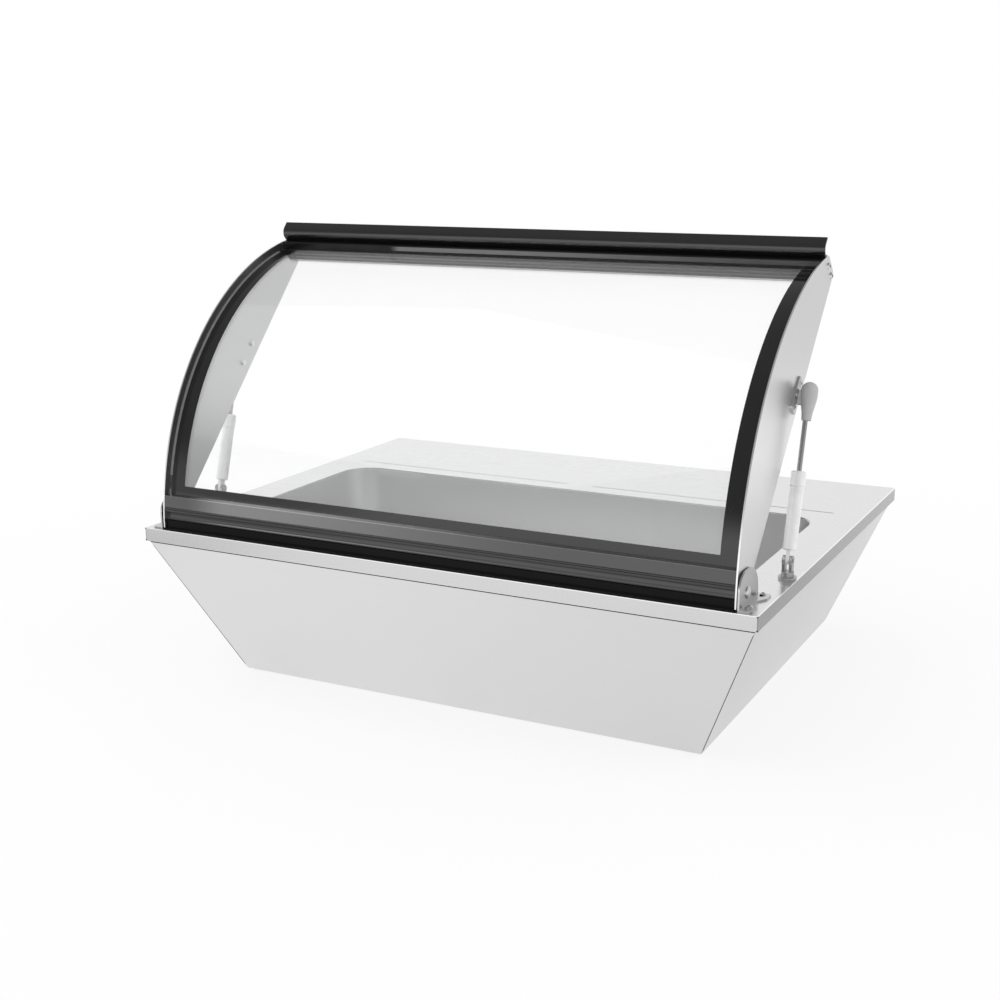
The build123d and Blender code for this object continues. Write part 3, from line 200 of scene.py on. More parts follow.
def brushed_group():
    """Brushed sheet: long fine lines and a slow smudged cloud, for tone, bump and roughness."""
    inputs = {"Stretch": (2.0, 900.0, 900.0), "Roughness": 0.3, "Spread": 0.08}
    outputs = ("Lines", "Cloud", "Roughness")
    group, shader, given, result = new_group("brushed_sheet", inputs, outputs)
    mapping = shader.node("ShaderNodeVectorMath", operation="MULTIPLY")
    shader.join(shader.place(), mapping.inputs[0])
    shader.join(given["Stretch"], mapping.inputs[1])
    lines = shader.noise(mapping.outputs[0], 1.0, 3.0, 0.7)
    cloud = shader.noise(shader.place(), 5.0, 2.0, 0.55)
    smudge = shader.noise(shader.place(), 23.0, 3.0, 0.6)
    mottle = shader.plus(shader.times(cloud, 0.6), shader.times(smudge, 0.4))
    rough = given["Roughness"]
    for pattern in (lines, mottle):
        rough = shader.plus(rough, shader.times(shader.minus(pattern, 0.5), given["Spread"]))
    shader.join(lines, result["Lines"])
    shader.join(mottle, result["Cloud"])
    shader.join(rough, result["Roughness"])
    return group


def moulded_group():
    """Moulded or cast skin: fine grain for bump, and a faint patchiness for roughness and tone."""
    group, shader, given, result = new_group("moulded_skin", {"Size": 1500.0}, ("Grain", "Patches"))
    shader.join(shader.noise(shader.place(), given["Size"]), result["Grain"])
    shader.join(shader.noise(shader.place(), 60.0, 3.0, 0.6), result["Patches"])
    return group


BRUSHED = brushed_group()
MOULDED = moulded_group()


# Materials
def empty_material(name):
    """Material with no nodes yet, and the builder of its node tree."""
    material = bpy.data.materials.new(name)
    material.use_nodes = True
    material.node_tree.nodes.clear()
    return material, Shader(material.node_tree)


def finish(name, base_color, metallic=0.0, roughness=0.5, **sockets):
    """Material with one Principled shader whose constants are set on its own sockets."""
    material, shader = empty_material(name)
    surface = shader.node("ShaderNodeBsdfPrincipled")
    out = shader.node("ShaderNodeOutputMaterial")
    shader.join(surface.outputs[0], out.inputs["Surface"])
    surface.inputs["Base Color"].default_value = (*base_color, 1.0)
    surface.inputs["Metallic"].default_value = metallic
    surface.inputs["Roughness"].default_value = roughness
    for label, value in sockets.items():
        surface.inputs[label.replace("_", " ")].default_value = value
    return material, shader, surface


def first_node(material, kind):
    return next(node for node in material.node_tree.nodes if node.type == kind)


def opened(material):
    """Node builder and Principled shader of a material that is made already."""
    return Shader(material.node_tree), first_node(material, "BSDF_PRINCIPLED")


def tinted(shader, surface, mask, base_color, darkest):
    """Base colour that wanders between a darker tone and its own under a mask."""
    dark = tuple(channel * darkest for channel in base_color)
    tone = shader.mix(mask, (*dark, 1.0), (*base_color, 1.0))
    shader.join(tone, surface.inputs["Base Color"])


def retinted(shader, surface, mask, color):
    """Lays one more tone over the base colour under a mask."""
    base = surface.inputs["Base Color"].links[0].from_socket
    shader.join(shader.mix(mask, base, (*color, 1.0)), surface.inputs["Base Color"])


def brushed_steel(name, base_color, roughness, stretch, spread=0.08, lines=0.04):
    """Brushed stainless sheet with its lines along the axis whose stretch is smallest."""
    material, shader, surface = finish(name, base_color, metallic=1.0, roughness=roughness)
    group = shader.node("ShaderNodeGroup", node_tree=BRUSHED)
    group.inputs["Stretch"].default_value = stretch
    group.inputs["Roughness"].default_value = roughness
    group.inputs["Spread"].default_value = spread
    shader.join(group.outputs["Roughness"], surface.inputs["Roughness"])
    fine = shader.times(group.outputs["Lines"], 0.6)
    tone = shader.plus(fine, shader.times(group.outputs["Cloud"], 0.4))
    tinted(shader, surface, shader.remap(tone, NOISE_RANGE, (0.0, 1.0)), base_color, 0.975)
    shader.join(shader.bump(group.outputs["Lines"], lines, 0.0002), surface.inputs["Normal"])
    return material


def moulded(name, base_color, roughness, size=1500.0, strength=0.15, metallic=0.0, **sockets):
    """Moulded, cast or painted skin with a fine grain."""
    material, shader, surface = finish(name, base_color, metallic, roughness, **sockets)
    group = shader.node("ShaderNodeGroup", node_tree=MOULDED)
    group.inputs["Size"].default_value = size
    patches = group.outputs["Patches"]
    rough = shader.remap(patches, NOISE_RANGE, (roughness - 0.05, roughness + 0.06))
    shader.join(rough, surface.inputs["Roughness"])
    tinted(shader, surface, shader.remap(patches, NOISE_RANGE, (0.0, 1.0)), base_color, 0.88)
    shader.join(shader.bump(group.outputs["Grain"], strength, 0.0003), surface.inputs["Normal"])
    return material


def hood_radius(shader, along, height):
    """Distance of a point from the axis of the hood's arc."""
    across = shader.minus(along, ARC_CENTRE_Y)
    up = shader.minus(height, ARC_CENTRE_Z)
    square = shader.plus(shader.times(across, across), shader.times(up, up))
    return shader.math("SQRT", square)


# Height of the painted shade strip on the panels below and behind the rim's lower edge
PANEL_SHADE_HEIGHT = 0.0026


def shaded_panel(name, stretch):
    """Satin base panel with painted shade where it goes up behind the worktop's rim."""
    material = brushed_steel(name, (0.74, 0.74, 0.745), 0.36, stretch, 0.05, 0.012)
    shader, surface = opened(material)
    height = shader.axes(shader.place())[2]
    # Painted shade: the panel is laid near black where it goes up behind the rim.
    panel_painted_shade = shader.above(height, RIM_LOW - PANEL_SHADE_HEIGHT)
    retinted(shader, surface, panel_painted_shade, (0.02, 0.02, 0.02))
    return material


# How thin a layer counts as the cheek's inner face, and where its part over the glass starts
CHEEK_SKIN = 0.0003
CHEEK_PROUD = 0.0004


def cheek_steel():
    """Satin cheek plate: its inner face is laid in a darker tone, and less so where it stands over
    the glass.
    """
    tone, stretch = (0.88, 0.88, 0.885), (700.0, 8.0, 700.0)
    material = brushed_steel("cheek_satin_steel", tone, 0.32, stretch, 0.05, 0.01)
    shader, surface = opened(material)
    x, y, z = shader.axes(shader.place())
    inside = shader.below(shader.magnitude(x), CHEEK_INNER + CHEEK_SKIN)
    retinted(shader, surface, shader.times(inside, 0.7), (0.5, 0.5, 0.505))
    proud = shader.above(hood_radius(shader, y, z), GLASS_OUTER + CHEEK_PROUD)
    retinted(shader, surface, shader.times(inside, proud), (0.6, 0.6, 0.6))
    return material


# The rim of the worktop: where its painted highlight lies along the bent top edge, and how thin a
# layer counts as its outer faces, which take painted shade
BEND_WIDTH = 0.0013
BEND_HEIGHT = 0.0008
RIM_FACE_TOP = 0.0012
RIM_FACE_DEPTH = 0.0006


def worktop_steel():
    """Brushed worktop with a painted highlight along its top edges, and painted shade that makes
    the faces of its rim darker than its top.
    """
    tone, stretch = (0.78, 0.78, 0.785), (6.0, 900.0, 900.0)
    material = brushed_steel("worktop_brushed_steel", tone, 0.27, stretch, 0.03, 0.005)
    shader, surface = opened(material)
    x, y, z = shader.axes(shader.place())
    aside = shader.magnitude(x)
    edge = shader.below(y, FRONT_EDGE + BEND_WIDTH)
    edge = shader.largest(edge, shader.above(aside, SIDE_EDGE - BEND_WIDTH))
    edge_painted_highlight = shader.times(edge, shader.above(z, TOP - BEND_HEIGHT))
    # Painted highlight along the bent top edges.
    retinted(shader, surface, edge_painted_highlight, (0.97, 0.97, 0.97))
    # Painted shade on the front and side faces of the rim, darkest on the sides.
    rim_face_shade = shader.below(z, TOP - RIM_FACE_TOP)
    front = shader.below(y, FRONT_EDGE + RIM_FACE_DEPTH)
    retinted(shader, surface, shader.times(rim_face_shade, front), (0.64, 0.64, 0.645))
    sides = shader.above(aside, SIDE_EDGE - RIM_FACE_DEPTH)
    retinted(shader, surface, shader.times(rim_face_shade, sides), (0.37, 0.37, 0.375))
    return material


def black_extrusion(name, grey, gloss):
    """Black anodised extrusion with faint drawn lines, of a grey tone and a specular level."""
    tone = (grey, grey, grey)
    material, shader, surface = finish(name, tone, roughness=0.14, Specular_IOR_Level=gloss)
    lines = shader.noise(shader.stretched((3.0, 1500.0, 1500.0)), 1.0, 2.0, 0.6)
    shader.join(shader.remap(lines, NOISE_RANGE, (0.1, 0.18)), surface.inputs["Roughness"])
    spread = shader.remap(lines, NOISE_RANGE, (0.0, 1.0))
    tinted(shader, surface, spread, (grey, grey, grey * 1.06), 0.75)
    shader.join(shader.bump(lines, 0.02, 0.0002), surface.inputs["Normal"])
    return material


# Heights of the painted sheen and painted highlights along the lower rail, and where along x they
# fade
LOWER_SHEEN_HEIGHTS = (0.2449, LEDGE_TOP + 0.0005)
LOWER_EDGE_HIGHLIGHT = (0.2297, 0.2309)
LOWER_LIP_HIGHLIGHT = (LEDGE_TOP - 0.0007, LEDGE_TOP + 0.0005)
LOWER_FADE = (-0.28, 0.2)
LOWER_END_FADE = (-0.36, -0.29)


def lower_rail_black():
    """Lower rail: painted sheen on its front face, greyer to the left, a painted highlight line
    below it and a painted highlight along the lip above it.
    """
    material = black_extrusion("lower_rail_black", 0.011, 0.75)
    shader, surface = opened(material)
    x, y, z = shader.axes(shader.place())
    leftward = shader.fade(x, LOWER_FADE, (0.8, 0.12))
    leftward = shader.times(leftward, shader.fade(x, LOWER_END_FADE, (0.12, 1.0)))
    # Painted sheen on the front face, outside the glass.
    face_sheen = shader.times(shader.between(z, *LOWER_SHEEN_HEIGHTS), leftward)
    outer = shader.above(hood_radius(shader, y, z), GLASS_OUTER + 0.0008)
    retinted(shader, surface, shader.times(face_sheen, outer), (0.2, 0.2, 0.2))
    # Painted highlights: a thin line at the rail's lower edge and a brighter one along the lip.
    for heights, grey in ((LOWER_EDGE_HIGHLIGHT, 0.3), (LOWER_LIP_HIGHLIGHT, 0.5)):
        line = shader.times(shader.between(z, *heights), leftward)
        retinted(shader, surface, line, (grey, grey, grey))
    return material


# The painted highlight stripe along the top rail's front, and the painted sheen and groove shading
# of its wall inside the hood
STRIPE_HEIGHTS = (0.5641, 0.5698)
STRIPE_FRONT = -0.0265
STRIPE_START = (-0.215, -0.195)
STRIPE_FADE = (-0.1, 0.35)
GROOVE_PITCH = 0.0042
GROOVE_RADIUS = GLASS_OUTER - 0.0052
GROOVE_HALF = 0.379
GROOVE_FADE = (-0.3, 0.35)


def top_rail_black():
    """Top rail: a painted highlight stripe along its front, and a painted grey sheen with painted
    groove shading on its wall inside the hood.
    """
    material = black_extrusion("top_rail_black", 0.007, 0.25)
    shader, surface = opened(material)
    x, y, z = shader.axes(shader.place())
    # Painted highlight stripe along the front.
    highlight_stripe = shader.times(shader.between(z, *STRIPE_HEIGHTS), shader.below(y, STRIPE_FRONT))
    highlight_stripe = shader.times(highlight_stripe, shader.fade(x, STRIPE_START))
    highlight_stripe = shader.times(highlight_stripe, shader.fade(x, STRIPE_FADE, (1.0, 0.35)))
    retinted(shader, surface, highlight_stripe, (0.2, 0.2, 0.2))
    # Painted sheen on the wall inside the hood, with painted light and shade across its grooves.
    wall_sheen = shader.below(hood_radius(shader, y, z), GROOVE_RADIUS)
    wall_sheen = shader.times(wall_sheen, shader.below(shader.magnitude(x), GROOVE_HALF))
    groove_shading = shader.math("SINE", shader.times(z, 2.0 * math.pi / GROOVE_PITCH))
    wall_sheen = shader.times(wall_sheen, shader.remap(groove_shading, (-0.3, 0.3), (0.3, 1.0)))
    wall_sheen = shader.times(wall_sheen, shader.remap(x, GROOVE_FADE, (0.9, 0.4)))
    retinted(shader, surface, wall_sheen, (0.3, 0.3, 0.3))
    return material


def clear_glass():
    """Pane with the faint haze of used glass; light for shadows passes straight through it."""
    material, shader = empty_material("clear_pane")
    surface = shader.node("ShaderNodeBsdfPrincipled")
    out = shader.node("ShaderNodeOutputMaterial")
    surface.inputs["Base Color"].default_value = (0.99, 0.995, 0.992, 1.0)
    surface.inputs["Metallic"].default_value = 0.0
    surface.inputs["Transmission Weight"].default_value = 0.94
    surface.inputs["IOR"].default_value = 1.52
    smears = shader.noise(shader.place(), 14.0, 3.0, 0.6)
    shader.join(shader.remap(smears, (0.4, 0.8), (0.0, 0.012)), surface.inputs["Roughness"])
    through = shader.node("ShaderNodeBsdfTransparent")
    through.inputs["Color"].default_value = (0.97, 0.975, 0.972, 1.0)
    shadow = shader.node("ShaderNodeMixShader")
    shader.join(shader.node("ShaderNodeLightPath").outputs["Is Shadow Ray"], shadow.inputs[0])
    shader.join(surface.outputs[0], shadow.inputs[1])
    shader.join(through.outputs[0], shadow.inputs[2])
    shader.join(shadow.outputs[0], out.inputs["Surface"])
    return material


def printed_black():
    """Ceramic print on the glass: deep glossy black with pinholes and faint unevenness."""
    tone = (0.008, 0.008, 0.009)
    material, shader, surface = finish("black_print", tone, roughness=0.08, Specular_IOR_Level=0.6)
    cloud = shader.noise(shader.place(), 30.0, 3.0, 0.6)
    pinholes = shader.noise(shader.place(), 900.0, 0.0, 0.5)
    spread = shader.remap(cloud, NOISE_RANGE, (0.0, 1.0))
    tinted(shader, surface, spread, (0.01, 0.01, 0.011), 0.75)
    shader.join(shader.remap(pinholes, (0.72, 0.8), (0.07, 0.35)), surface.inputs["Roughness"])
    return material


# Stretches of brushed lines: the smallest number is the way that they run
ALL_WAYS = (900.0, 900.0, 900.0)
WELL_LINES = (9.0, 500.0, 500.0)
BRACKET_LINES = (600.0, 600.0, 20.0)
FIN_LINES = (600.0, 600.0, 30.0)
FINISHES = {
    "worktop": worktop_steel(),
    "panel": shaded_panel("panel_satin_steel", (5.0, 800.0, 800.0)),
    "side": shaded_panel("side_satin_steel", (800.0, 5.0, 800.0)),
    "well": brushed_steel("well_satin_steel", (0.72, 0.72, 0.725), 0.33, WELL_LINES, 0.1, 0.03),
    "cheek": cheek_steel(),
    "black": black_extrusion("handle_black", 0.011, 0.72),
    "lower_black": lower_rail_black(),
    "top_black": top_rail_black(),
    "base_black": black_extrusion("base_rail_black", 0.005, 0.1),
    "glass": clear_glass(),
    "print": printed_black(),
    "sealant": moulded("grey_sealant", (0.2, 0.205, 0.205), 0.25, 400.0, 0.05),
    "bracket": brushed_steel(
        "bracket_satin_steel", (0.6, 0.6, 0.605), 0.3, BRACKET_LINES, lines=0.02,
    ),
    "bright": brushed_steel(
        "bright_fastener_steel", (0.80, 0.80, 0.80), 0.18, ALL_WAYS, lines=0.02,
    ),
    "washer": moulded("black_washer", (0.012, 0.012, 0.012), 0.45),
    "strut_tube": moulded("silver_strut_paint", (0.93, 0.93, 0.935), 0.2, 2500.0, 0.03, 0.15),
    "rod": brushed_steel("polished_rod", (0.42, 0.42, 0.425), 0.12, ALL_WAYS, 0.04, 0.01),
    "rod_end": moulded("grey_nylon", (0.5, 0.5, 0.505), 0.42, 1800.0, 0.12),
    "fork": moulded("cast_zinc", (0.50, 0.50, 0.51), 0.35, 1200.0, 0.2, 0.9),
    "rubber": moulded("black_rubber", (0.015, 0.015, 0.015), 0.7, 1200.0, 0.3),
    "zinc": moulded("zinc_plate", (0.55, 0.56, 0.57), 0.4, 200.0, 0.05, 0.9),
    "foam": moulded("yellow_foam", (0.75, 0.66, 0.42), 0.85, 500.0, 0.5),
    "drain": moulded("pale_plastic", (0.62, 0.62, 0.60), 0.4),
    "copper": moulded("drawn_copper", (0.80, 0.42, 0.26), 0.3, 800.0, 0.05, 1.0),
    "compressor": moulded(
        "compressor_enamel", (0.012, 0.012, 0.013), 0.3, 300.0, 0.08, Coat_Weight=0.5,
    ),
    "fins": brushed_steel("aluminium_fins", (0.80, 0.81, 0.82), 0.3, FIN_LINES),
    "fan": moulded("fan_plastic", (0.015, 0.015, 0.016), 0.45),
    "motor": moulded("motor_enamel", (0.10, 0.11, 0.12), 0.4, 400.0, 0.1, 0.3),
    "control": moulded("control_plastic", (0.016, 0.016, 0.018), 0.38, 1600.0, 0.15),
    "key": moulded("key_plastic", (0.22, 0.23, 0.25), 0.45, 1600.0, 0.1),
    # Painted shade: near-black beads laid in the base's seams and the rim's corners.
    "seam": moulded("seam_painted_shade", (0.06, 0.06, 0.062), 0.5, 900.0, 0.1),
    # Painted shade: the near-black skin laid over the screw heads stands for the shade in their
    # drive recesses.
    "recess": moulded("drive_recess", (0.02, 0.02, 0.021), 0.6, 900.0, 0.1),
    "window": moulded("display_window", (0.01, 0.008, 0.008), 0.08, 500.0, 0.02, Coat_Weight=0.5),
    "rocker": moulded("green_rocker", (0.03, 0.30, 0.07), 0.2, 900.0, 0.03, Coat_Weight=0.4),
}

# Which CAD nodes take each finish
WEARS = {
    "worktop": ("worktop",),
    "panel": ("front_panel", "rear_panel"),
    "side": ("left_side_panel", "right_side_panel"),
    "well": ("well_liner",),
    "cheek": ("left_cheek", "right_cheek"),
    "black": ("handle_profile",),
    "lower_black": ("hood_lower_rail",),
    "top_black": ("hood_top_rail",),
    "base_black": ("base_rail",),
    "glass": ("hood_glass",),
    "sealant": ("glass_side_seals",),
    "bracket": ("left_hinge_bracket", "right_hinge_bracket", "strut_plates"),
    "bright": (
        "hinge_pins", "bracket_screws", "rail_screws",
        "strut_plate_screws", "strut_plate_nuts", "rear_panel_screws",
    ),
    "washer": ("hinge_washers",),
    "strut_tube": ("left_strut_tube", "right_strut_tube"),
    "rod": ("left_strut_rod", "right_strut_rod"),
    "rod_end": ("left_rod_end", "right_rod_end"),
    "fork": ("strut_forks",),
    "rubber": ("rubber_feet", "hood_bumpers", "compressor_grommets"),
    "zinc": ("floor_plate",),
    "foam": ("well_insulation",),
    "drain": ("drain_spigot",),
    "copper": (
        "evaporator_coil", "discharge_pipe", "liquid_pipe",
        "capillary_tube", "suction_pipe", "filter_dryer",
    ),
    "compressor": ("compressor",),
    "fins": ("condenser",),
    "fan": ("fan_housing", "fan_blades"),
    "motor": ("fan_motor",),
    "control": ("controller", "switch_housing", "power_gland"),
    "key": ("key_set", "key_up", "key_power", "key_down"),
    "rocker": ("switch_rocker",),
}


def dress():
    """Gives every CAD node its finish."""
    for label, names in WEARS.items():
        for name in names:
            data = nodes[name].data
            data.materials.clear()
            data.materials.append(FINISHES[label])
    bare = sorted(set(nodes) - {name for names in WEARS.values() for name in names})
    if bare:
        raise ValueError(f"nodes with no finish: {bare}")


# Added pieces
def grid_quads(index):
    """Corner numbers of the quads between neighbours of an array [..., rows, columns]."""
    corners = (
        index[..., :-1, :-1], index[..., :-1, 1:], index[..., 1:, 1:], index[..., 1:, :-1],
    )
    return np.stack(corners, axis=-1).reshape(-1, 4)


def surface_from_grid(name, points, material, body, closed=False):
    """Quad mesh from points [sheet, row, column, 3]; closed joins the last column to the first."""
    sheets, rows, columns = points.shape[:3]
    index = np.arange(sheets * rows * columns).reshape(sheets, rows, columns)
    if closed:
        index = np.concatenate([index, index[:, :, :1]], axis=2)
    quads = grid_quads(index)
    mesh = bpy.data.meshes.new(name)
    mesh.from_pydata(points.reshape(-1, 3).tolist(), [], quads.tolist())
    mesh.materials.append(FINISHES[material])
    mesh.polygons.foreach_set("use_smooth", np.ones(len(quads), bool))
    mesh.update()
    piece = bpy.data.objects.new(name, mesh)
    bpy.context.scene.collection.objects.link(piece)
    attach(piece, body)
    return piece


# Black print on the glass, as a thin skin just over its outer face; angles in degrees
PRINT_OVER = 0.00012
PRINT_HALF = glass_high.x - 0.0009
PRINT_SIDE = 0.0222
PRINT_LOW_ANGLE = 6.6
PRINT_SILL_ANGLE = 9.95
PRINT_HEAD_ANGLE = 77.6
PRINT_COLUMNS = 9
ARC_STEPS = 96
SILL_STEPS = 8


def glass_skin(name, x_low, x_high, end, steps):
    """Band on the glass: x between two limits, y and z on the arc at angles up from its front."""
    x = np.linspace(x_low, x_high, PRINT_COLUMNS)
    angle = np.radians(np.linspace(PRINT_LOW_ANGLE, end, steps))
    radius = GLASS_OUTER + PRINT_OVER
    grid = np.empty((steps, len(x), 3))
    grid[..., 0] = x[None, :]
    grid[..., 1] = (ARC_CENTRE_Y - radius * np.cos(angle))[:, None]
    grid[..., 2] = (ARC_CENTRE_Z + radius * np.sin(angle))[:, None]
    return surface_from_grid(name, grid[None], "print", "hood")


def glass_print():
    """Printed border: a band up each side and one along the sill."""
    inner = PRINT_HALF - PRINT_SIDE
    glass_skin("print_left", -PRINT_HALF, -inner, PRINT_HEAD_ANGLE, ARC_STEPS)
    glass_skin("print_right", inner, PRINT_HALF, PRINT_HEAD_ANGLE, ARC_STEPS)
    glass_skin("print_sill", -inner, inner, PRINT_SILL_ANGLE, SILL_STEPS)


# Seams of the folded base: x and y of the slanting ones at the rim and at the foot, then the dark
# beads that paint their shade
SEAM_TOP = (0.4166, FRONT_EDGE + 0.0034)
SEAM_FOOT = (0.3305, FRONT_EDGE + 0.089)
SEAM_LIFT = 0.0005
SEAM_RADIUS = 0.00055
SEAM_STEPS = 24
RIM_BEND = 0.0006
RIM_END = 0.0002
RIM_RADIUS = 0.00065
RIM_SWELL = 0.0009
RIM_SWELL_AT = (0.03, 0.97)
RIM_SWELL_LENGTH = 0.045
RIM_STEPS = 41
BEAD_SIDES = 10
BEAD_ASIDE = (0.31, 0.87, 0.38)


def beads(name, starts, ends, radii):
    """Round beads: rings at equal steps from each start to its end, one radius for each step."""
    starts, ends = np.asarray(starts, float), np.asarray(ends, float)
    along = ends - starts
    axis = along / np.linalg.norm(along, axis=1, keepdims=True)
    first = np.cross(axis, BEAD_ASIDE)
    first /= np.linalg.norm(first, axis=1, keepdims=True)
    second = np.cross(axis, first)
    turn = np.linspace(0.0, 2.0 * math.pi, BEAD_SIDES, endpoint=False)
    ring = np.cos(turn)[:, None] * first[:, None, :] + np.sin(turn)[:, None] * second[:, None, :]
    step = np.linspace(0.0, 1.0, len(radii))
    centre = starts[:, None, :] + step[None, :, None] * along[:, None, :]
    points = centre[:, :, None, :] + radii[None, :, None, None] * ring[:, None, :, :]
    return surface_from_grid(name, points, "seam", "case", closed=True)


def base_seams():
    """Dark beads of painted shade down the slanting corners of the base, and up the corners of the
    worktop's rim.
    """
    panel_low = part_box("front_panel")[0]
    top = [(side * SEAM_TOP[0], SEAM_TOP[1], RIM_LOW) for side in SIDES]
    foot = [(side * SEAM_FOOT[0], SEAM_FOOT[1], panel_low.z + SEAM_LIFT) for side in SIDES]
    fine = np.full(SEAM_STEPS, SEAM_RADIUS)
    fine[[0, -1]] = 0.0
    beads("corner_seams", top, foot, fine)
    x, y = SIDE_EDGE - RIM_BEND, FRONT_EDGE + RIM_BEND
    low = [(side * x, y, RIM_LOW + RIM_END) for side in SIDES]
    high = [(side * x, y, TOP - RIM_END) for side in SIDES]
    step = np.linspace(0.0, 1.0, RIM_STEPS)
    near_ends = sum(np.exp(-((step - end) / RIM_SWELL_LENGTH) ** 2) for end in RIM_SWELL_AT)
    swollen = RIM_RADIUS + RIM_SWELL * near_ends
    swollen[[0, -1]] = 0.0
    beads("rim_seams", low, high, swollen)


# Painted shade of the drive recesses: x of the side heads with y and z of each, and x, y, z of the
# upright ones
RECESS_OVER = 0.00006
CHEEK_HEADS = 0.3959
CHEEK_SCREWS = ((-0.0064, 0.5628), (0.0075, 0.5499))
PLATE_HEADS = 0.3968
PLATE_SCREWS = ((-0.1356, 0.4108), (-0.1132, 0.4348))
FRONT_SCREW = (0.4035, -0.309, 0.2204)
SLOT_SCREW = (0.4028, -0.2559, 0.22)
RAIL_RECESS = 0.0019
PLATE_RECESS = 0.0015
BRACKET_RECESS = 0.0017
LOBES = 6
LOBE_DEPTH = 0.16


def drive_recesses(name, centres, normal, reach, body):
    """Six-lobed dark sheets of painted shade just over the heads, square to a normal: radius reach
    (1 + 0.16 cos 6a).
    """
    centres = np.asarray(centres, float)
    turn = np.linspace(0.0, 2.0 * math.pi, 36, endpoint=False)
    lobed = reach * (1.0 + LOBE_DEPTH * np.cos(LOBES * turn))
    spread = np.linspace(0.0, 1.0, 4)[:, None] * lobed[None, :]
    first, second = {"x": ((0, 1, 0), (0, 0, 1)), "z": ((1, 0, 0), (0, 1, 0))}[normal]
    flat = (spread * np.cos(turn))[..., None] * np.array(first)
    flat = flat + (spread * np.sin(turn))[..., None] * np.array(second)
    points = centres[:, None, None, :] + flat[None]
    return surface_from_grid(name, points, "recess", body, closed=True)


def screw_recesses():
    """Painted shade of the drive recesses in the heads on the cheeks, the strut plates and the
    hinge brackets.
    """
    out = CHEEK_HEADS + RECESS_OVER
    cheek = [(side * out, y, z) for side in SIDES for y, z in CHEEK_SCREWS]
    drive_recesses("rail_screw_recesses", cheek, "x", RAIL_RECESS, "hood")
    out = PLATE_HEADS + RECESS_OVER
    plate = [(side * out, y, z) for side in SIDES for y, z in PLATE_SCREWS]
    drive_recesses("plate_screw_recesses", plate, "x", PLATE_RECESS, "hood")
    upright = [(side, screw) for screw in (FRONT_SCREW, SLOT_SCREW) for side in SIDES]
    bracket = [(side * x, y, z + RECESS_OVER) for side, (x, y, z) in upright]
    drive_recesses("bracket_screw_recesses", bracket, "z", BRACKET_RECESS, "case")


# Window of the controller
WINDOW_X = 0.012
WINDOW_HALF_WIDTH = 0.0205
WINDOW_HALF_HEIGHT = 0.0115
WINDOW_OVER = 0.0001
WINDOW_POWER = 6


def display_window():
    """Glossy window of the controller: half sizes times a superellipse |cos|^6 + |sin|^6 = 1."""
    low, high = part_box("controller")
    turn = np.linspace(0.0, 2.0 * math.pi, 96, endpoint=False)
    sums = np.abs(np.cos(turn)) ** WINDOW_POWER + np.abs(np.sin(turn)) ** WINDOW_POWER
    spread = np.linspace(0.0, 1.0, 8)[:, None] * (sums ** (-1.0 / WINDOW_POWER))[None, :]
    points = np.empty((1, *spread.shape, 3))
    points[0, ..., 0] = WINDOW_X + WINDOW_HALF_WIDTH * spread * np.cos(turn)
    points[0, ..., 1] = high.y + WINDOW_OVER
    points[0, ..., 2] = (low.z + high.z) / 2 + WINDOW_HALF_HEIGHT * spread * np.sin(turn)
    surface_from_grid("display_window", points, "window", "case", closed=True)


# Studio: floor, soft lamps, surround and camera
FLOOR_HALF = 30.0
FLOOR_SHADE = 0.82
FLOOR_WHITENS = (0.75, 1.5)

# The floor as mirrors see it: its white, the steps down or up from that, and where each one fades
FLOOR_MIRRORED = 1.05
ASIDE_DROP = 0.6
ASIDE_FADE = (0.55, 0.85)
ASIDE_REACH = (1.15, 1.45)
RIGHT_FADE = (-0.2, 0.6)
RIGHT_CLOSE_DROP = 0.16
RIGHT_CLOSE_REACH = (0.7, 1.0)
RIGHT_FAR_DROP = 0.35
RIGHT_FAR_START = (2.0, 2.6)
AHEAD_GAIN = 0.45
AHEAD_FADE = (-2.6, -1.6)


def direct_sight(shader):
    """1 for camera, mirror and glass rays, 0 for the rays that only carry light."""
    path = shader.node("ShaderNodeLightPath").outputs
    seen = shader.largest(path["Is Camera Ray"], path["Is Transmission Ray"])
    return shader.largest(seen, path["Is Glossy Ray"])


def mirrored_floor(shader, away):
    """White of the floor as mirrors see it: duller aside and to the right, brighter in front."""
    x, y, _ = shader.axes(shader.place())
    aside = shader.fade(shader.magnitude(x), ASIDE_FADE)
    near = shader.fade(away, ASIDE_REACH, (1.0, 0.0))
    drop = shader.times(shader.times(aside, near), ASIDE_DROP)
    white = shader.minus(FLOOR_MIRRORED, drop)
    close = shader.fade(away, RIGHT_CLOSE_REACH, (RIGHT_CLOSE_DROP, 0.0))
    far = shader.fade(away, RIGHT_FAR_START, (0.0, RIGHT_FAR_DROP))
    drop = shader.times(shader.fade(x, RIGHT_FADE), shader.plus(close, far))
    gain = shader.fade(y, AHEAD_FADE, (AHEAD_GAIN, 0.0))
    return shader.plus(shader.minus(white, drop), gain)


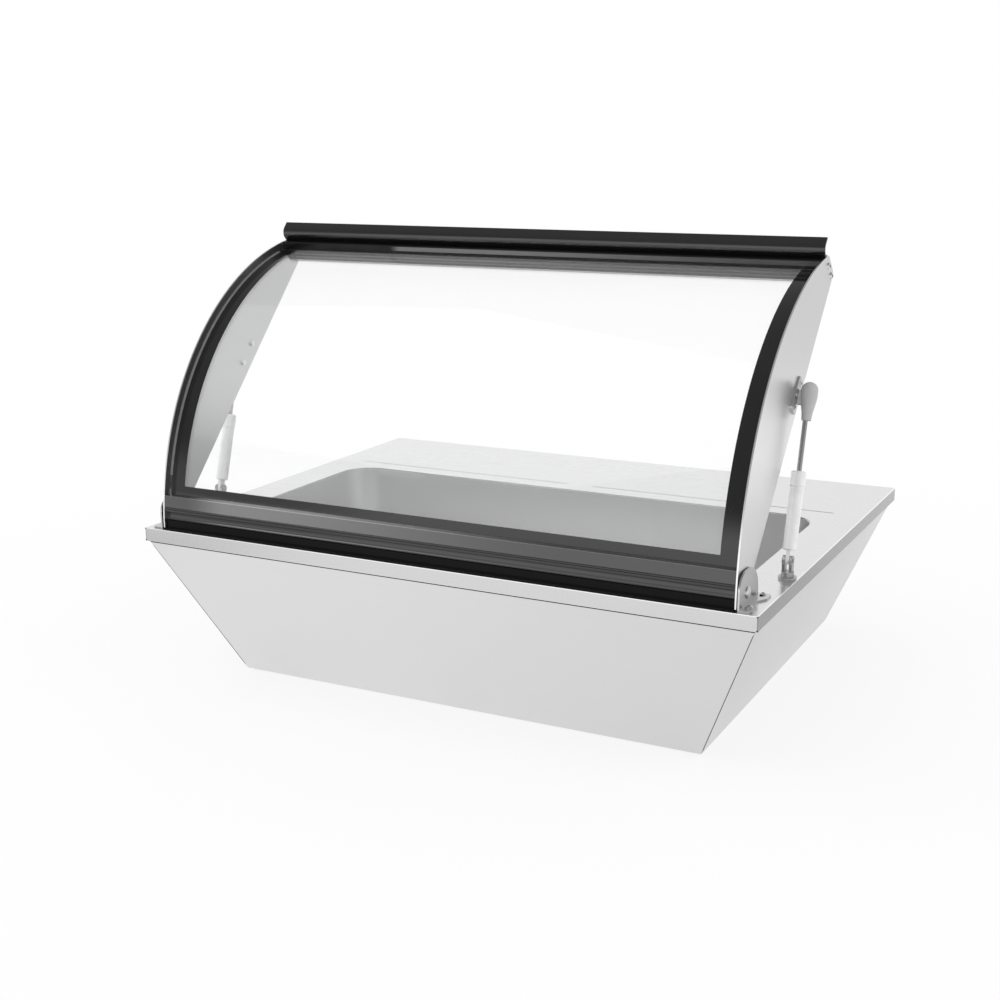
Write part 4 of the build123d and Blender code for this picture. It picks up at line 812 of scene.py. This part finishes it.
def studio_floor():
    """Pale floor: it takes the shadow near the case, and shows plain white away from it."""
    line = np.linspace(-FLOOR_HALF, FLOOR_HALF, 3)
    points = np.stack(np.meshgrid(line, line, [0.0]), axis=-1).reshape(-1, 3)
    mesh = bpy.data.meshes.new("floor")
    mesh.from_pydata(points.tolist(), [], grid_quads(np.arange(9).reshape(3, 3)).tolist())
    floor = bpy.data.objects.new("floor", mesh)
    bpy.context.scene.collection.objects.link(floor)
    material, shader, surface = finish("pale_floor", (0.93, 0.93, 0.93), roughness=0.6)
    surface.inputs["Specular IOR Level"].default_value = 0.0
    distance = shader.node("ShaderNodeVectorMath", operation="LENGTH")
    shader.join(shader.place(), distance.inputs[0])
    away = distance.outputs["Value"]
    share = shader.fade(away, FLOOR_WHITENS, (FLOOR_SHADE, 1.0))
    mirrored = mirrored_floor(shader, away)
    path = shader.node("ShaderNodeLightPath").outputs
    not_glass = shader.minus(1.0, path["Is Transmission Ray"])
    mirror = shader.times(path["Is Glossy Ray"], not_glass)
    white = shader.node("ShaderNodeEmission")
    shader.join(shader.number(mirror, 1.0, mirrored), white.inputs["Strength"])
    mixed = shader.node("ShaderNodeMixShader")
    shader.join(shader.times(share, direct_sight(shader)), mixed.inputs[0])
    shader.join(surface.outputs[0], mixed.inputs[1])
    shader.join(white.outputs[0], mixed.inputs[2])
    shader.join(mixed.outputs[0], first_node(material, "OUTPUT_MATERIAL").inputs["Surface"])
    mesh.materials.append(material)


LAMP_AIM = (0.0, 0.0, 0.2)


def lamp(name, place, width, watts):
    """Soft square lamp at a place, turned to face the case."""
    data = bpy.data.lights.new(name, "AREA")
    data.shape = "SQUARE"
    data.size = width
    data.energy = watts
    made = bpy.data.objects.new(name, data)
    bpy.context.scene.collection.objects.link(made)
    made.location = place
    made.rotation_mode = "QUATERNION"
    made.rotation_quaternion = (Vector(LAMP_AIM) - Vector(place)).to_track_quat("-Z", "Y")
    made.visible_glossy = False


# Strengths of the surround: as plain light, and as mirrors see it above, in front and aside
WORLD_LIGHT = 0.84
CEILING_LIGHT = 0.32
FRONT_LIGHT = 1.5
FRONT_DIM = 0.8
REAR_RIGHT_SHARE = 0.6

# Directions between which they change, as parts of a unit vector
FRONT_TO_REAR = (-0.05, 0.45)
FRONT_RISE = (0.12, 0.36)
REAR_RISE = (0.4, 0.7)
FRONT_LEFT = (-0.57, -0.5)
FRONT_RIGHT = (0.25, 0.5)
REAR_RIGHT = (0.2, 0.5)


def mirrored_world(shader):
    """White of the surround as mirrors see it: bright low in front and behind, grey overhead."""
    x, y, z = shader.axes(shader.node("ShaderNodeTexCoord").outputs["Generated"])
    behind = shader.fade(z, REAR_RISE, (1.0, CEILING_LIGHT))
    behind = shader.times(behind, shader.fade(x, REAR_RIGHT, (1.0, REAR_RIGHT_SHARE)))
    facing = shader.fade(x, FRONT_LEFT, (FRONT_DIM, FRONT_LIGHT))
    facing = shader.number(shader.fade(x, FRONT_RIGHT), facing, FRONT_DIM)
    ahead = shader.number(shader.fade(z, FRONT_RISE, (1.0, 0.0)), CEILING_LIGHT, facing)
    return shader.number(shader.fade(y, FRONT_TO_REAR), ahead, behind)


def world():
    """Surround: plain white for camera and glass, soft light, and its own tones for mirrors."""
    made = bpy.data.worlds.new("studio")
    bpy.context.scene.world = made
    made.use_nodes = True
    made.node_tree.nodes.clear()
    shader = Shader(made.node_tree)
    path = shader.node("ShaderNodeLightPath").outputs
    strength = shader.number(path["Is Glossy Ray"], WORLD_LIGHT, mirrored_world(shader))
    seen = shader.largest(path["Is Camera Ray"], path["Is Transmission Ray"])
    strength = shader.number(seen, strength, 1.0)
    ground = shader.node("ShaderNodeBackground")
    ground.inputs["Color"].default_value = (1.0, 1.0, 1.0, 1.0)
    shader.join(strength, ground.inputs["Strength"])
    shader.join(ground.outputs[0], shader.node("ShaderNodeOutputWorld").inputs["Surface"])


CAMERA_PLACE = (0.8634, -1.7983, 0.7245)
CAMERA_TARGET = (-0.0203, -0.0760, 0.2406)
CAMERA_ROLL = -0.2917
CAMERA_LENS = 53.2079
CAMERA_SENSOR = 36.0
CAMERA_RANGE = (0.05, 60.0)


def camera():
    """Camera at the photograph's place, solved from the case's own corners; roll in degrees."""
    data = bpy.data.cameras.new("camera")
    data.lens = CAMERA_LENS
    data.sensor_width = CAMERA_SENSOR
    data.clip_start, data.clip_end = CAMERA_RANGE
    made = bpy.data.objects.new("camera", data)
    bpy.context.scene.collection.objects.link(made)
    back = (Vector(CAMERA_PLACE) - Vector(CAMERA_TARGET)).normalized()
    right = Vector((0.0, 0.0, 1.0)).cross(back).normalized()
    up = back.cross(right)
    roll = math.radians(CAMERA_ROLL)
    turned_right = math.cos(roll) * right + math.sin(roll) * up
    turned_up = -math.sin(roll) * right + math.cos(roll) * up
    turn = Matrix((turned_right, turned_up, back)).transposed().to_4x4()
    made.matrix_world = Matrix.Translation(CAMERA_PLACE) @ turn
    bpy.context.scene.camera = made


dress()
glass_print()
base_seams()
screw_recesses()
display_window()
studio_floor()
world()
lamp("key_lamp", (-1.6, -1.4, 2.6), 3.4, 27.0)
lamp("side_lamp", (2.6, 0.4, 1.6), 2.2, 13.0)
camera()
bpy.context.scene.view_settings.view_transform = "Standard"
